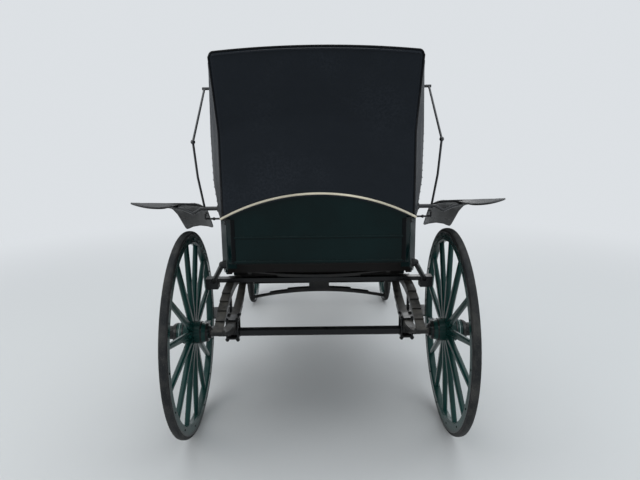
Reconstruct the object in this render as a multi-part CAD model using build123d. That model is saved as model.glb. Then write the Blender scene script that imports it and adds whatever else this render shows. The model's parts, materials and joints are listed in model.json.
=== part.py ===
"""Four-wheeled horse drawn carriage with a raised leather hood.

Millimetres. +X is the carriage's right-hand side seen from behind, +Y is forward, +Z is up.
The origin is on the ground, midway between the rearmost and the foremost points.
"""
import math
import os

from build123d import *

# Wheels
REAR_WHEEL_RADIUS = 562.0
REAR_TRACK_HALF = 712.0
REAR_SPOKES = 14
FRONT_WHEEL_RADIUS = 430.0
FRONT_TRACK_HALF = 640.0
FRONT_SPOKES = 12
TYRE_WIDTH = 38.0
TYRE_DEPTH = 26.0
TYRE_CROWN = 7.0
TYRE_TREAD = 18.0
FELLOE_WIDTH = 40.0
FELLOE_DEPTH = 46.0
FELLOE_BEVEL = 9.0
SPOKE_ROOT = (40.0, 30.0)
SPOKE_TIP = (27.0, 25.0)
SPOKE_CHAMFER = 0.28
SPOKE_SEAT = 8.0
DISH = 12.0
NAVE_RADIUS = 62.0
NAVE_LENGTH = 190.0
NAVE_INNER_LENGTH = 89.0
NAVE_END_RADIUS = 46.0
NAVE_BELLY = 84.0
CAP_RADIUS = 37.0
CAP_FLANGE = 4.0
CAP_FLANGE_LENGTH = 8.0
CAP_LENGTH = 34.0
CAP_BEVEL = 7.0

# Axles
AXLE_BAR = 40.0
AXLE_BAR_BEVEL = 7.0
AXLE_ARM_RADIUS = 20.0
AXLE_CLEARANCE = 0.1
AXLE_COLLAR_RADIUS = 34.0
AXLE_COLLAR_WIDTH = 14.0
END_PLAY = 0.4

# Long layout
WHEELBASE = 2300.0
NOSE_REACH = 700.0
REAR_Y = (REAR_WHEEL_RADIUS - WHEELBASE - NOSE_REACH) / 2.0
FRONT_Y = REAR_Y + WHEELBASE

# Springs
SPRING_WIDTH = 45.0
LEAF = 8.0
LEAF_TAPER = 0.8
REAR_SPRING_X = 478.0
REAR_SPRING_HALF = 430.0
REAR_SPRING_RISE = 92.0
REAR_LEAVES = 5
FRONT_SPRING_X = 400.0
FRONT_SPRING_HALF = 360.0
FRONT_SPRING_RISE = 78.0
FRONT_LEAVES = 4
EYE_RADIUS = 15.0
EYE_SHARE = 0.42
BOLT_RADIUS = 8.0
BOLT_HEAD_RADIUS = 13.0
BOLT_HEAD_LENGTH = 9.0
BOLT_FIT = 0.3
FIT = 0.5
SADDLE = 14.0
CLIP_BAR = 12.0
CLIP_PLATE = 9.0
CLIP_HALF_LENGTH = 44.0
CLIP_SEAT = 1.3

# Rear cross members
CROSS_BAR_HALF = 545.0
CROSS_BAR_DEPTH = 46.0
CROSS_BAR_HEIGHT = 22.0
CROSS_SPRING_HALF = 372.0
CROSS_SPRING_RISE = 24.0
CROSS_SPRING_WIDTH = 40.0
CROSS_LEAVES = 2
HUNG_SPRING_HALF = 420.0
HUNG_SPRING_RISE = 44.0
HUNG_LEAVES = 3
HUNG_BLOCK_WIDTH = 124.0
HUNG_BLOCK_DEPTH = 60.0
HUNG_BLOCK_HEIGHT = 90.0
SHACKLE_DROP = 100.0
SHACKLE_WIDTH = 18.0
SHACKLE_PLATE = 8.0
IRON_RADIUS = 13.0
IRON_PAD_RADIUS = 20.0
IRON_PAD = 16.0
IRON_BALL_RADIUS = 16.0
IRON_BALL_REACH = 18.0
IRON_FOOT_Y = -262.0
IRON_FOOT_Z = 1014.0
IRON_END_WIDTH = 66.0
IRON_END_DEPTH = 60.0
IRON_END_HEIGHT = 58.0

# Body, y values measured from the rear axle
PANEL = 20.0
FLOOR = 18.0
WIDE = 800.0
BODY_BACK_Y = -330.0
BODY_BACK_HALF = 438.0
BODY_CORNER = 24.0
BODY_SHOULDER_Y = 20.0
BODY_HALF = 522.0
BODY_ELBOW_Z = 1262.0
BACK_CROWN_Z = 1372.0
BACK_BOTTOM_Z = 1030.0
TUCK_Y = -170.0
ARM_END_Y = 170.0
STEP_TOP_Y = 190.0
STEP_START_Y = 385.0
STEP_END_Y = 475.0
SILL_Z = 672.0
SILL_TOP_Z = 790.0
FOOTWELL_START = 570.0
FOOTWELL_END = 1180.0
BOOT_START = 1240.0
NECK_END = 1480.0
BOOT_BOTTOM_Z = 892.0
BOOT_TOP_Z = 1140.0
BOOT_END = 2330.0
BOOT_HALF = 400.0
SEAT_TOP_Z = 1110.0
SEAT_FRONT_Y = 240.0
WAIST_Y = 350.0
WAIST_Z = 990.0
ENTRY_START = 700.0
ENTRY_END = 1060.0
# Points that the side panel's curves pass through, y from the rear axle and z
ARM_CURVE = (310.0, 1172.0)
SKIRT_CURVE = (460.0, 850.0)
NECK_CURVE = (1200.0, 900.0)
UNDER_NECK_CURVE = (1290.0, 822.0)
SEAT_CURVE = (320.0, 875.0)
TUCK_CURVE = (-275.0, 975.0)

# Soft parts
CUSHION_HEIGHT = 110.0
SQUAB_DEPTH = 90.0
SQUAB_TOP_Z = 1332.0
BOX_CUSHION_HEIGHT = 90.0
BOX_CUSHION_INSET = 4.0
BOX_CUSHION_BACK = 30.0
BOX_CUSHION_NOSE = 10.0
SOFT_GAP = 0.4
SOFT_SIDE = 14.0
CUSHION_EDGE = 22.0
CUSHION_NOSE = 20.0

# Driver's box
BOX_START = 1560.0
BOX_END = 1990.0
BOX_HALF = 370.0
BOX_TOP_Z = 1300.0
RAIL_RADIUS = 9.0
RAIL_LUG = 14.0
# y from the rear axle, then z, of the rail's turns on each side
RAIL_TURNS = [(1830.0, 1250.0), (1830.0, 1450.0), (1546.0, 1560.0)]
TOE_END = 2690.0
TOE_RISE = 210.0
TOE_BOARD = 18.0
TOE_HALF = 380.0

# Hood
HOOD_WALL = 7.0
HOOD_TOP_Z = 1985.0
HOOD_CORNER_DROP = 30.0
HOOD_LAP = 20.0
HOOD_LAP_HALF = 540.0
HOOD_MID_BACK_Y = -356.0
HOOD_TOP_BACK_Y = -480.0
HOOD_MID_Z = 1640.0
HOOD_BACK_HALF = 440.0
HOOD_MAIN_Y = 20.0
HOOD_MAIN_HALF = 550.0
HOOD_TOP_HALF = 534.0
HOOD_FOOT_FRONT_Y = 70.0
HOOD_FRONT_Y = 560.0
HOOD_FRONT_DROP = 60.0
BOW_WIDTH = 34.0
BOW_THICKNESS = 14.0
BOW_TOPS = (-330.0, -40.0, 250.0, 500.0)
PROP_RADIUS = 11.0
PROP_LENGTH = 90.0
PROP_Z = 1250.0
PROP_FOOT_RADIUS = 18.0
PROP_FOOT = 5.0
JOINT_RADIUS = 6.0
JOINT_KNUCKLE = 12.0
JOINT_PIN_RADIUS = 8.0
# The folding joint's turns: x from the centre line, y from the rear axle, share of the height from prop to roof
JOINT_TURNS = [(603.0, 20.0, 0.0), (620.0, -30.0, 0.234), (630.0, -50.0, 0.477), (610.0, 210.0, 0.857)]

# Wings: y from the rear axle, then (x, z) of the underside from the inner edge over the crown to the outer edge
WING_SHEET = 7.0
WING_STATIONS = [
    (-150.0, [(775.0, 1273.0), (795.0, 1275.0), (815.0, 1276.0), (835.0, 1277.0), (857.0, 1278.0)]),
    (-42.0, [(757.0, 1270.0), (790.0, 1273.0), (830.0, 1276.0), (880.0, 1278.0), (946.0, 1278.0)]),
    (30.0, [(745.0, 1268.0), (775.0, 1272.0), (820.0, 1276.0), (890.0, 1278.0), (995.0, 1278.0)]),
    (40.0, [(612.0, 1250.0), (640.0, 1267.0), (668.0, 1273.0), (715.0, 1270.0), (1000.0, 1278.0)]),
    (80.0, [(612.0, 1243.0), (640.0, 1261.0), (668.0, 1267.0), (720.0, 1262.0), (795.0, 1246.0)]),
    (240.0, [(635.0, 1195.0), (668.0, 1220.0), (708.0, 1230.0), (760.0, 1218.0), (806.0, 1186.0)]),
    (600.0, [(680.0, 1040.0), (712.0, 1053.0), (762.0, 1059.0), (812.0, 1051.0), (850.0, 1031.0)]),
]
# Bent stay from the prop's end under the wing's blade: (x, drop below the prop) of its turns, x of its post
BLADE_STAY_RADIUS = 9.0
BLADE_STAY_TURNS = [(624.0, 0.0), (667.0, 24.0), (722.0, 0.0), (790.0, -14.0)]
# Straight stay from the body to the wing's inner edge, with a ball on the way
EDGE_STAY_RADIUS = 6.0
EDGE_STAY_Y = 296.0
EDGE_STAY_Z = 1150.0
EDGE_STAY_X = 662.0
EDGE_BALL_RADIUS = 10.0
EDGE_BALL_X = 612.0

# Steps
STEP_X = (600.0, 760.0)
STEP_Y = (660.0, 880.0)
STEP_Z = 400.0
STEP_PLATE = 10.0
STEP_IRON = 10.0
STEP_HANGER_INSET = 20.0
STEP_HANGER_BITE = 6.0

# Fore carriage
RING_RADIUS = 270.0
RING_WIDTH = 36.0
RING_THICKNESS = 14.0
RING_GAP = 0.4
KING_PIN_RADIUS = 16.0
KING_PIN_CLEARANCE = 0.1
KING_NUT_RADIUS = 28.0
KING_NUT_HEIGHT = 18.0
BED_HEIGHT = 46.0
BED_DEPTH = 62.0
FUTCHELL_X = 150.0
FUTCHELL_SIZE = 36.0
FUTCHELL_BACK = -330.0
SPLINTER_Y = 560.0
SPLINTER_HALF = 560.0
SPLINTER_RADIUS = 22.0
POLE_RADIUS = 30.0
POLE_SOCKET_WALL = 8.0
POLE_SOCKET_LENGTH = 200.0
JAW_THICKNESS = 24.0
JAW_INSET = 10.0
TRACE_PIN_RADIUS = 9.0
TRACE_PIN_LENGTH = 34.0
TRACE_PIN_NECK_RADIUS = 8.0
TRACE_PIN_NECK = 2.0
TRACE_PIN_COLLAR_RADIUS = 15.0
TRACE_PIN_COLLAR = 2.0
TRACE_PIN_XS = (-530.0, -80.0, 80.0, 530.0)

PARTS = "parts"
os.makedirs(PARTS, exist_ok=True)


def save(name, *shapes):
    """Writes one piece, made of one or more solids, to its own file."""
    children = [solid for shape in shapes for solid in shape.solids()]
    body = children[0] if len(children) == 1 else Compound(children=children)
    body.label = name
    export_step(body, f"{PARTS}/{name}.step")


def block(x, y, z):
    """A box between the given limits, each a pair."""
    size = (x[1] - x[0], y[1] - y[0], z[1] - z[0])
    middle = ((x[0] + x[1]) / 2, (y[0] + y[1]) / 2, (z[0] + z[1]) / 2)
    return Pos(*middle) * Box(*size)


def rod(start, end, radius):
    """A round bar between two points."""
    a, b = Vector(*start), Vector(*end)
    plane = Plane(origin=a, z_dir=b - a)
    return plane * Cylinder(radius, (b - a).length, align=(Align.CENTER, Align.CENTER, Align.MIN))


def bar_path(points, radius):
    """Round bars through a row of points, with a ball at each turn."""
    shape = rod(points[0], points[1], radius)
    for a, b in zip(points[1:], points[2:]):
        shape = shape + Pos(*a) * Sphere(radius) + rod(a, b, radius)
    return shape


def mirrored(shape):
    """The same shape on the other side of the carriage."""
    return mirror(shape, about=Plane.YZ)


def both_sides(shape):
    """The shape and its mirror image."""
    return [shape, mirrored(shape)]


def turned(points):
    """Revolves a closed outline of (x, radius) points about the X axis."""
    return revolve(make_face(Polyline(*points, close=True)), Axis.X)


def side_view(outline, x0, x1):
    """Extrudes a (y, z) outline, y from the rear axle, between two x positions."""
    face = make_face(outline) if not isinstance(outline[0], tuple) else make_face(Polyline(*outline, close=True))
    plane = Plane(origin=(x0, REAR_Y, 0), x_dir=(0, 1, 0), z_dir=(1, 0, 0))
    return extrude(plane * face, x1 - x0)


# Wheels and axles


def tyre(x, radius):
    """A solid rubber tyre with a crowned tread, seated on the felloe."""
    half, tread = TYRE_WIDTH / 2, TYRE_TREAD / 2
    inner, edge = radius - TYRE_DEPTH, radius - TYRE_CROWN
    return turned([(x + half, inner), (x + half, edge), (x + tread, radius), (x - tread, radius), (x - half, edge),
                   (x - half, inner)])


def spoke(x_root, x_tip, r_root, r_tip):
    """One tapered spoke with chamfered corners, pointing up."""
    sections = []
    for x, r, size in ((x_root, r_root, SPOKE_ROOT), (x_tip, r_tip, SPOKE_TIP)):
        wide, deep = size
        outline = chamfer(Rectangle(deep, wide).vertices(), deep * SPOKE_CHAMFER)
        sections.append(Plane(origin=(x, 0, r), x_dir=(1, 0, 0), z_dir=(0, 0, 1)) * outline)
    return loft(sections, ruled=True)


def wheel(centre_y, radius, track_half, spokes):
    """Tyre, spoked woodwork with its nave, and axle cap of a right-hand wheel, in place."""
    x_rim, x_nave = track_half, track_half - DISH
    out = radius - TYRE_DEPTH
    back = out - FELLOE_DEPTH
    half = FELLOE_WIDTH / 2
    felloe = turned([(x_rim - half, out), (x_rim + half, out), (x_rim + half, back + FELLOE_BEVEL),
                     (x_rim + half - FELLOE_BEVEL, back), (x_rim - half + FELLOE_BEVEL, back),
                     (x_rim - half, back + FELLOE_BEVEL)])
    bore = AXLE_ARM_RADIUS + AXLE_CLEARANCE
    inner = x_nave - NAVE_INNER_LENGTH
    outer = inner + NAVE_LENGTH
    nave = turned([(inner, bore), (inner, NAVE_END_RADIUS), (x_nave - NAVE_BELLY / 2, NAVE_RADIUS),
                   (x_nave + NAVE_BELLY / 2, NAVE_RADIUS), (outer, NAVE_END_RADIUS), (outer, bore)])
    one = spoke(x_nave, x_rim, NAVE_RADIUS - SPOKE_SEAT, back + SPOKE_SEAT)
    wood = nave + felloe + [Rot(360.0 * k / spokes, 0, 0) * one for k in range(spokes)]
    cap = turned([(outer, 0), (outer, CAP_RADIUS + CAP_FLANGE), (outer + CAP_FLANGE_LENGTH, CAP_RADIUS + CAP_FLANGE),
                  (outer + CAP_FLANGE_LENGTH, CAP_RADIUS), (outer + CAP_LENGTH - CAP_BEVEL, CAP_RADIUS),
                  (outer + CAP_LENGTH, CAP_RADIUS - CAP_BEVEL), (outer + CAP_LENGTH, 0)])
    place = Pos(0, centre_y, radius)
    return [place * shape for shape in (tyre(x_rim, radius), wood, cap)], inner, outer


def axle(y, z, inner, outer):
    """A square axle bar with round arms and the collars that the naves run against."""
    half = AXLE_BAR / 2
    collar_end = inner - END_PLAY
    shape = block((-collar_end, collar_end), (y - half, y + half), (z - half, z + half))
    shape = chamfer(shape.edges().filter_by(Axis.X), AXLE_BAR_BEVEL)
    reach = outer - END_PLAY
    shape = shape + rod((-reach, y, z), (reach, y, z), AXLE_ARM_RADIUS)
    for side in (-1, 1):
        shape = shape + rod((side * (collar_end - AXLE_COLLAR_WIDTH), y, z), (side * collar_end, y, z),
                            AXLE_COLLAR_RADIUS)
    return shape


def build_wheels():
    """Writes the wheels and axles. The front axle belongs to the fore carriage."""
    for word, y, radius, track, spokes in (("rear", REAR_Y, REAR_WHEEL_RADIUS, REAR_TRACK_HALF, REAR_SPOKES),
                                           ("front", FRONT_Y, FRONT_WHEEL_RADIUS, FRONT_TRACK_HALF, FRONT_SPOKES)):
        pieces, inner, outer = wheel(y, radius, track, spokes)
        for piece, name in zip(pieces, ("tyre", "wheel", "cap")):
            save(f"{word}_right_{name}", piece)
            save(f"{word}_left_{name}", mirrored(piece))
        save(f"{word}_axle", axle(y, radius, inner, outer))


# Springs


def pack_height(rise, leaves):
    """Height from a spring's eyes to the outer face of its crown."""
    return rise + LEAF * (leaves - 0.5)


def leaf_face(half_length, rise, k, leaves):
    """Outline of leaf k of a pack in the pack's own plane, the main leaf being number 0."""
    radius = (half_length ** 2 + rise ** 2) / (2 * rise)
    centre = rise - radius
    reach = math.degrees(math.asin(half_length / radius)) * (1 - LEAF_TAPER * k / leaves)
    r_in = radius - LEAF / 2 + k * LEAF
    r_out = r_in + LEAF

    def at(r, angle):
        return (r * math.sin(math.radians(angle)), centre + r * math.cos(math.radians(angle)))

    return make_face([
        ThreePointArc(at(r_in, -reach), at(r_in, 0), at(r_in, reach)),
        Line(at(r_in, reach), at(r_out, reach)),
        ThreePointArc(at(r_out, reach), at(r_out, 0), at(r_out, -reach)),
        Line(at(r_out, -reach), at(r_in, -reach))])


def leaf_pack(plane, half_length, rise, leaves, width, eyes):
    """Half of a leaf spring that crowns along local +Y, its leaves stepped on the outer side.

    eyes lists (offset across the width, eye width) for both ends.
    """
    ends = [Pos(end * half_length, 0) for end in (-1, 1)]
    stack = leaf_face(half_length, rise, 0, leaves)
    strip = stack
    for k in range(1, leaves):
        stack = stack + leaf_face(half_length, rise, k, leaves)
    for spot in ends:
        stack = stack - spot * Circle(EYE_RADIUS + FIT)
        strip = strip + spot * Circle(EYE_RADIUS)
    for spot in ends:
        strip = strip - spot * Circle(BOLT_RADIUS + BOLT_FIT)
    pack = extrude(plane * stack, width / 2, both=True)
    for offset, eye_width in eyes:
        pack = pack + extrude(plane.offset(offset) * strip, eye_width / 2, both=True)
    return pack


def eye_bolt(plane, along, half_width):
    """A bolt through a spring eye, with a hexagon at each end."""
    spot = Pos(along, 0)
    bolt = extrude(plane * (spot * Circle(BOLT_RADIUS)), half_width + BOLT_HEAD_LENGTH, both=True)
    for face in (-1, 1):
        head = plane.offset(face * (half_width + BOLT_HEAD_LENGTH / 2)) * (spot * RegularPolygon(BOLT_HEAD_RADIUS, 6))
        bolt = bolt + extrude(head, BOLT_HEAD_LENGTH / 2, both=True)
    return bolt


def elliptic(origin, lengthwise, half_length, rise, leaves, width):
    """A full elliptic spring: upper half, lower half and two eye bolts."""
    x_dir, across = ((0, 1, 0), (1, 0, 0)) if lengthwise else ((1, 0, 0), (0, -1, 0))
    upper = Plane(origin=origin, x_dir=x_dir, z_dir=across)
    lower = Plane(origin=origin, x_dir=x_dir, z_dir=tuple(-c for c in across))
    middle = width * EYE_SHARE
    side = (width - middle) / 2 - FIT
    offset = (width - side) / 2
    return [leaf_pack(upper, half_length, rise, leaves, width, [(0, middle)]),
            leaf_pack(lower, half_length, rise, leaves, width, [(-offset, side), (offset, side)]),
            eye_bolt(upper, -half_length, width / 2 + BOLT_FIT),
            eye_bolt(upper, half_length, width / 2 + BOLT_FIT)]


def clip(x, y, low, high, half_x):
    """A plate under and a plate over a clamped stack, drawn together by four bolts."""
    bar = CLIP_BAR / 2
    out = half_x + CLIP_BAR + BOLT_FIT
    shape = block((x - out, x + out), (y - CLIP_HALF_LENGTH, y + CLIP_HALF_LENGTH), (low - CLIP_PLATE, low))
    shape = shape + block((x - out, x + out), (y - CLIP_HALF_LENGTH, y + CLIP_HALF_LENGTH), (high, high + CLIP_PLATE))
    for sx in (-1, 1):
        for sy in (-1, 1):
            cx, cy = x + sx * (out - bar), y + sy * (CLIP_HALF_LENGTH - bar)
            shape = shape + rod((cx, cy, low - CLIP_PLATE - CLIP_BAR), (cx, cy, high + CLIP_PLATE), bar)
    return shape


REAR_AXLE_TOP = REAR_WHEEL_RADIUS + AXLE_BAR / 2
REAR_PACK = pack_height(REAR_SPRING_RISE, REAR_LEAVES)
REAR_EYE_Z = REAR_AXLE_TOP + SADDLE + REAR_PACK
REAR_CROWN_Z = REAR_EYE_Z + REAR_PACK
CROSS_BAR_TOP = REAR_CROWN_Z + CROSS_BAR_HEIGHT
CROSS_PACK = pack_height(CROSS_SPRING_RISE, CROSS_LEAVES)
CROSS_EYE_Z = CROSS_BAR_TOP + CROSS_PACK
BODY_BOTTOM_Z = CROSS_EYE_Z + CROSS_PACK
HUNG_Y = REAR_Y + REAR_SPRING_HALF
HUNG_EYE_Z = REAR_EYE_Z - SHACKLE_DROP
HUNG_CROWN_Z = HUNG_EYE_Z + pack_height(HUNG_SPRING_RISE, HUNG_LEAVES)
BODY_STEP_Z = HUNG_CROWN_Z + HUNG_BLOCK_HEIGHT
FRONT_AXLE_TOP = FRONT_WHEEL_RADIUS + AXLE_BAR / 2
FRONT_PACK = pack_height(FRONT_SPRING_RISE, FRONT_LEAVES)
FRONT_EYE_Z = FRONT_AXLE_TOP + SADDLE + FRONT_PACK
FRONT_CROWN_Z = FRONT_EYE_Z + FRONT_PACK
LOWER_BED_TOP = FRONT_CROWN_Z + BED_HEIGHT
RING_SPLIT_Z = LOWER_BED_TOP + RING_THICKNESS + RING_GAP / 2
UPPER_BED_BOTTOM = RING_SPLIT_Z + RING_GAP / 2 + RING_THICKNESS


def axle_seats(x, y, axle_top, leaves):
    """The saddle block under a spring and the clip that holds both to the axle."""
    seat = block((x - SPRING_WIDTH / 2, x + SPRING_WIDTH / 2), (y - CLIP_HALF_LENGTH, y + CLIP_HALF_LENGTH),
                 (axle_top, axle_top + SADDLE))
    over = axle_top + SADDLE + LEAF * leaves + CLIP_SEAT
    return seat + clip(x, y, axle_top - AXLE_BAR, over, SPRING_WIDTH / 2)


def body_iron():
    """The right-hand end block of the rear cross bar with its strut up to the body's side."""
    end = block((CROSS_BAR_HALF, CROSS_BAR_HALF + IRON_END_WIDTH),
                (REAR_Y - IRON_END_DEPTH / 2, REAR_Y + IRON_END_DEPTH / 2),
                (CROSS_BAR_TOP - IRON_END_HEIGHT, CROSS_BAR_TOP))
    slope = math.atan2(BODY_HALF - BODY_BACK_HALF, BODY_SHOULDER_Y - BODY_BACK_Y)
    outward = Vector(math.cos(slope), -math.sin(slope), 0)
    foot = Vector(body_half_at(IRON_FOOT_Y), REAR_Y + IRON_FOOT_Y, IRON_FOOT_Z)
    head = foot + outward * IRON_BALL_REACH
    pad = rod(tuple(foot), tuple(foot + outward * IRON_PAD), IRON_PAD_RADIUS)
    middle = (CROSS_BAR_HALF + IRON_END_WIDTH / 2, REAR_Y, CROSS_BAR_TOP - IRON_END_HEIGHT / 2)
    ball = Plane(origin=head, z_dir=Vector(*middle) - head) * Sphere(IRON_BALL_RADIUS)
    return end + pad + ball + rod(tuple(head), middle, IRON_RADIUS)


def build_rear_gear():
    """Springs, cross members and body irons at the back."""
    side = elliptic((REAR_SPRING_X, REAR_Y, REAR_EYE_Z), True, REAR_SPRING_HALF, REAR_SPRING_RISE, REAR_LEAVES,
                    SPRING_WIDTH)
    save("rear_side_springs", *[half for shape in side for half in both_sides(shape)])
    save("rear_spring_clips", *both_sides(axle_seats(REAR_SPRING_X, REAR_Y, REAR_AXLE_TOP, REAR_LEAVES)))

    half = CROSS_BAR_DEPTH / 2
    bar = block((-CROSS_BAR_HALF, CROSS_BAR_HALF), (REAR_Y - half, REAR_Y + half), (REAR_CROWN_Z, CROSS_BAR_TOP))
    for iron in both_sides(body_iron()):
        bar = bar + iron
    save("rear_cross_bar", bar)
    save("rear_cross_spring", *elliptic((0, REAR_Y, CROSS_EYE_Z), False, CROSS_SPRING_HALF, CROSS_SPRING_RISE,
                                        CROSS_LEAVES, CROSS_SPRING_WIDTH))

    plane = Plane(origin=(0, HUNG_Y, HUNG_EYE_Z), x_dir=(1, 0, 0), z_dir=(0, -1, 0))
    hung = leaf_pack(plane, HUNG_SPRING_HALF, HUNG_SPRING_RISE, HUNG_LEAVES, CROSS_SPRING_WIDTH,
                     [(0, CROSS_SPRING_WIDTH)])
    wide, deep = HUNG_BLOCK_WIDTH / 2, HUNG_BLOCK_DEPTH / 2
    pad = block((-wide, wide), (HUNG_Y - deep, HUNG_Y + deep), (HUNG_CROWN_Z, BODY_STEP_Z))

    x = HUNG_SPRING_HALF
    half, deep = SHACKLE_WIDTH / 2, CROSS_SPRING_WIDTH / 2 + FIT
    shackle = rod((x, HUNG_Y, REAR_EYE_Z), (REAR_SPRING_X - SPRING_WIDTH / 2 - BOLT_HEAD_LENGTH - FIT, HUNG_Y,
                                           REAR_EYE_Z), EYE_RADIUS)
    for face in (-1, 1):
        near, far = sorted((HUNG_Y + face * deep, HUNG_Y + face * (deep + SHACKLE_PLATE)))
        shackle = shackle + block((x - half, x + half), (near, far),
                                  (HUNG_EYE_Z - EYE_RADIUS, REAR_EYE_Z + EYE_RADIUS))
    shackle = shackle + block((x - half, x + half), (HUNG_Y - deep, HUNG_Y + deep),
                              (REAR_EYE_Z - EYE_RADIUS, REAR_EYE_Z + EYE_RADIUS))
    shackle = shackle + rod((x, HUNG_Y - deep, HUNG_EYE_Z), (x, HUNG_Y + deep, HUNG_EYE_Z), BOLT_RADIUS)
    save("rear_hung_spring", hung, pad, *both_sides(shackle))


# Body


def body_half_at(y):
    """Half the body's width at a distance y from the rear axle."""
    share = (y - BODY_BACK_Y) / (BODY_SHOULDER_Y - BODY_BACK_Y)
    return BODY_BACK_HALF + (BODY_HALF - BODY_BACK_HALF) * min(share, 1.0)


def plan_wall(inset):
    """The body's plan outline, drawn in by inset, as a tall solid."""
    back_y, back_x = REAR_Y + BODY_BACK_Y + inset, BODY_BACK_HALF - inset
    right = [(back_x - BODY_CORNER, back_y), (back_x, back_y + BODY_CORNER),
             (BODY_HALF - inset, REAR_Y + BODY_SHOULDER_Y),
             (BODY_HALF - inset, REAR_Y + FOOTWELL_END), (BOOT_HALF - inset, REAR_Y + NECK_END),
             (BOOT_HALF - inset, REAR_Y + BOOT_END - inset)]
    left = [(-x, y) for x, y in reversed(right)]
    outline = make_face(Polyline(*(right + left), close=True))
    return extrude(Plane.XY.offset(SILL_Z - FLOOR) * outline, BACK_CROWN_Z - SILL_Z + 2 * FLOOR)


def side_outline():
    """Side view of the body's side panel, (y, z) from the rear axle and the ground."""
    back_top = (BODY_BACK_Y, BODY_ELBOW_Z)
    arm = (ARM_END_Y, BODY_ELBOW_Z)
    waist = (WAIST_Y, WAIST_Z)
    sill_start = (ENTRY_START, SILL_TOP_Z)
    sill_end = (ENTRY_END, SILL_TOP_Z)
    neck_top = (BOOT_START, BOOT_TOP_Z)
    return [
        Line(back_top, arm),
        ThreePointArc(arm, ARM_CURVE, waist),
        ThreePointArc(waist, SKIRT_CURVE, sill_start),
        Line(sill_start, sill_end),
        ThreePointArc(sill_end, NECK_CURVE, neck_top),
        Line(neck_top, (BOOT_END, BOOT_TOP_Z)),
        Line((BOOT_END, BOOT_TOP_Z), (BOOT_END, BOOT_BOTTOM_Z)),
        Line((BOOT_END, BOOT_BOTTOM_Z), (NECK_END, BOOT_BOTTOM_Z)),
        ThreePointArc((NECK_END, BOOT_BOTTOM_Z), UNDER_NECK_CURVE, (FOOTWELL_END, SILL_Z)),
        Line((FOOTWELL_END, SILL_Z), (FOOTWELL_START, SILL_Z)),
        Line((FOOTWELL_START, SILL_Z), (STEP_END_Y, BODY_STEP_Z)),
        Line((STEP_END_Y, BODY_STEP_Z), (STEP_START_Y, BODY_STEP_Z)),
        ThreePointArc((STEP_START_Y, BODY_STEP_Z), SEAT_CURVE, (STEP_TOP_Y, BODY_BOTTOM_Z)),
        Line((STEP_TOP_Y, BODY_BOTTOM_Z), (TUCK_Y, BODY_BOTTOM_Z)),
        ThreePointArc((TUCK_Y, BODY_BOTTOM_Z), TUCK_CURVE, (BODY_BACK_Y, BACK_BOTTOM_Z)),
        Line((BODY_BACK_Y, BACK_BOTTOM_Z), back_top),
    ]


# The floor's underside, (y, z) from the rear axle and the ground, and how far each point of its top is moved in y
FLOOR_LINE = [(BODY_BACK_Y + PANEL, BACK_BOTTOM_Z), (TUCK_Y, BODY_BOTTOM_Z), (STEP_TOP_Y, BODY_BOTTOM_Z),
              (STEP_START_Y, BODY_STEP_Z), (STEP_END_Y, BODY_STEP_Z), (FOOTWELL_START, SILL_Z),
              (FOOTWELL_END, SILL_Z), (NECK_END, BOOT_BOTTOM_Z), (BOOT_END - PANEL, BOOT_BOTTOM_Z)]
FLOOR_MOVES = (0, 0, FLOOR / 2, FLOOR, FLOOR / 2, FLOOR / 2, -FLOOR / 2, -FLOOR / 2, 0)


def floor_top():
    """The floor's upper line."""
    return [(y + move, z + FLOOR) for (y, z), move in zip(FLOOR_LINE, FLOOR_MOVES)]


def floor_outline():
    """Side view of the floor that runs under seat, footwell, neck and boot."""
    return FLOOR_LINE + floor_top()[::-1]


def cushion(x, y, z):
    """A plain closed block with rounded upright corners, for a stuffed cushion."""
    shape = block(x, y, z)
    return fillet(shape.edges().filter_by(Axis.Z), CUSHION_EDGE)


def back_panel(drop, y_start, depth):
    """The body's back with its arched top, lowered by drop, from y_start for depth forwards."""
    half = BODY_BACK_HALF + HOOD_WALL + FIT
    low, elbow, crown = BACK_BOTTOM_Z - drop, BODY_ELBOW_Z - drop, BACK_CROWN_Z - drop
    face = make_face([Line((-half, low), (half, low)), Line((half, low), (half, elbow)),
                      ThreePointArc((half, elbow), (0, crown), (-half, elbow)), Line((-half, elbow), (-half, low))])
    plane = Plane(origin=(0, REAR_Y + y_start, 0), x_dir=(1, 0, 0), z_dir=(0, -1, 0))
    return extrude(plane * face, -depth)


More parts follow.
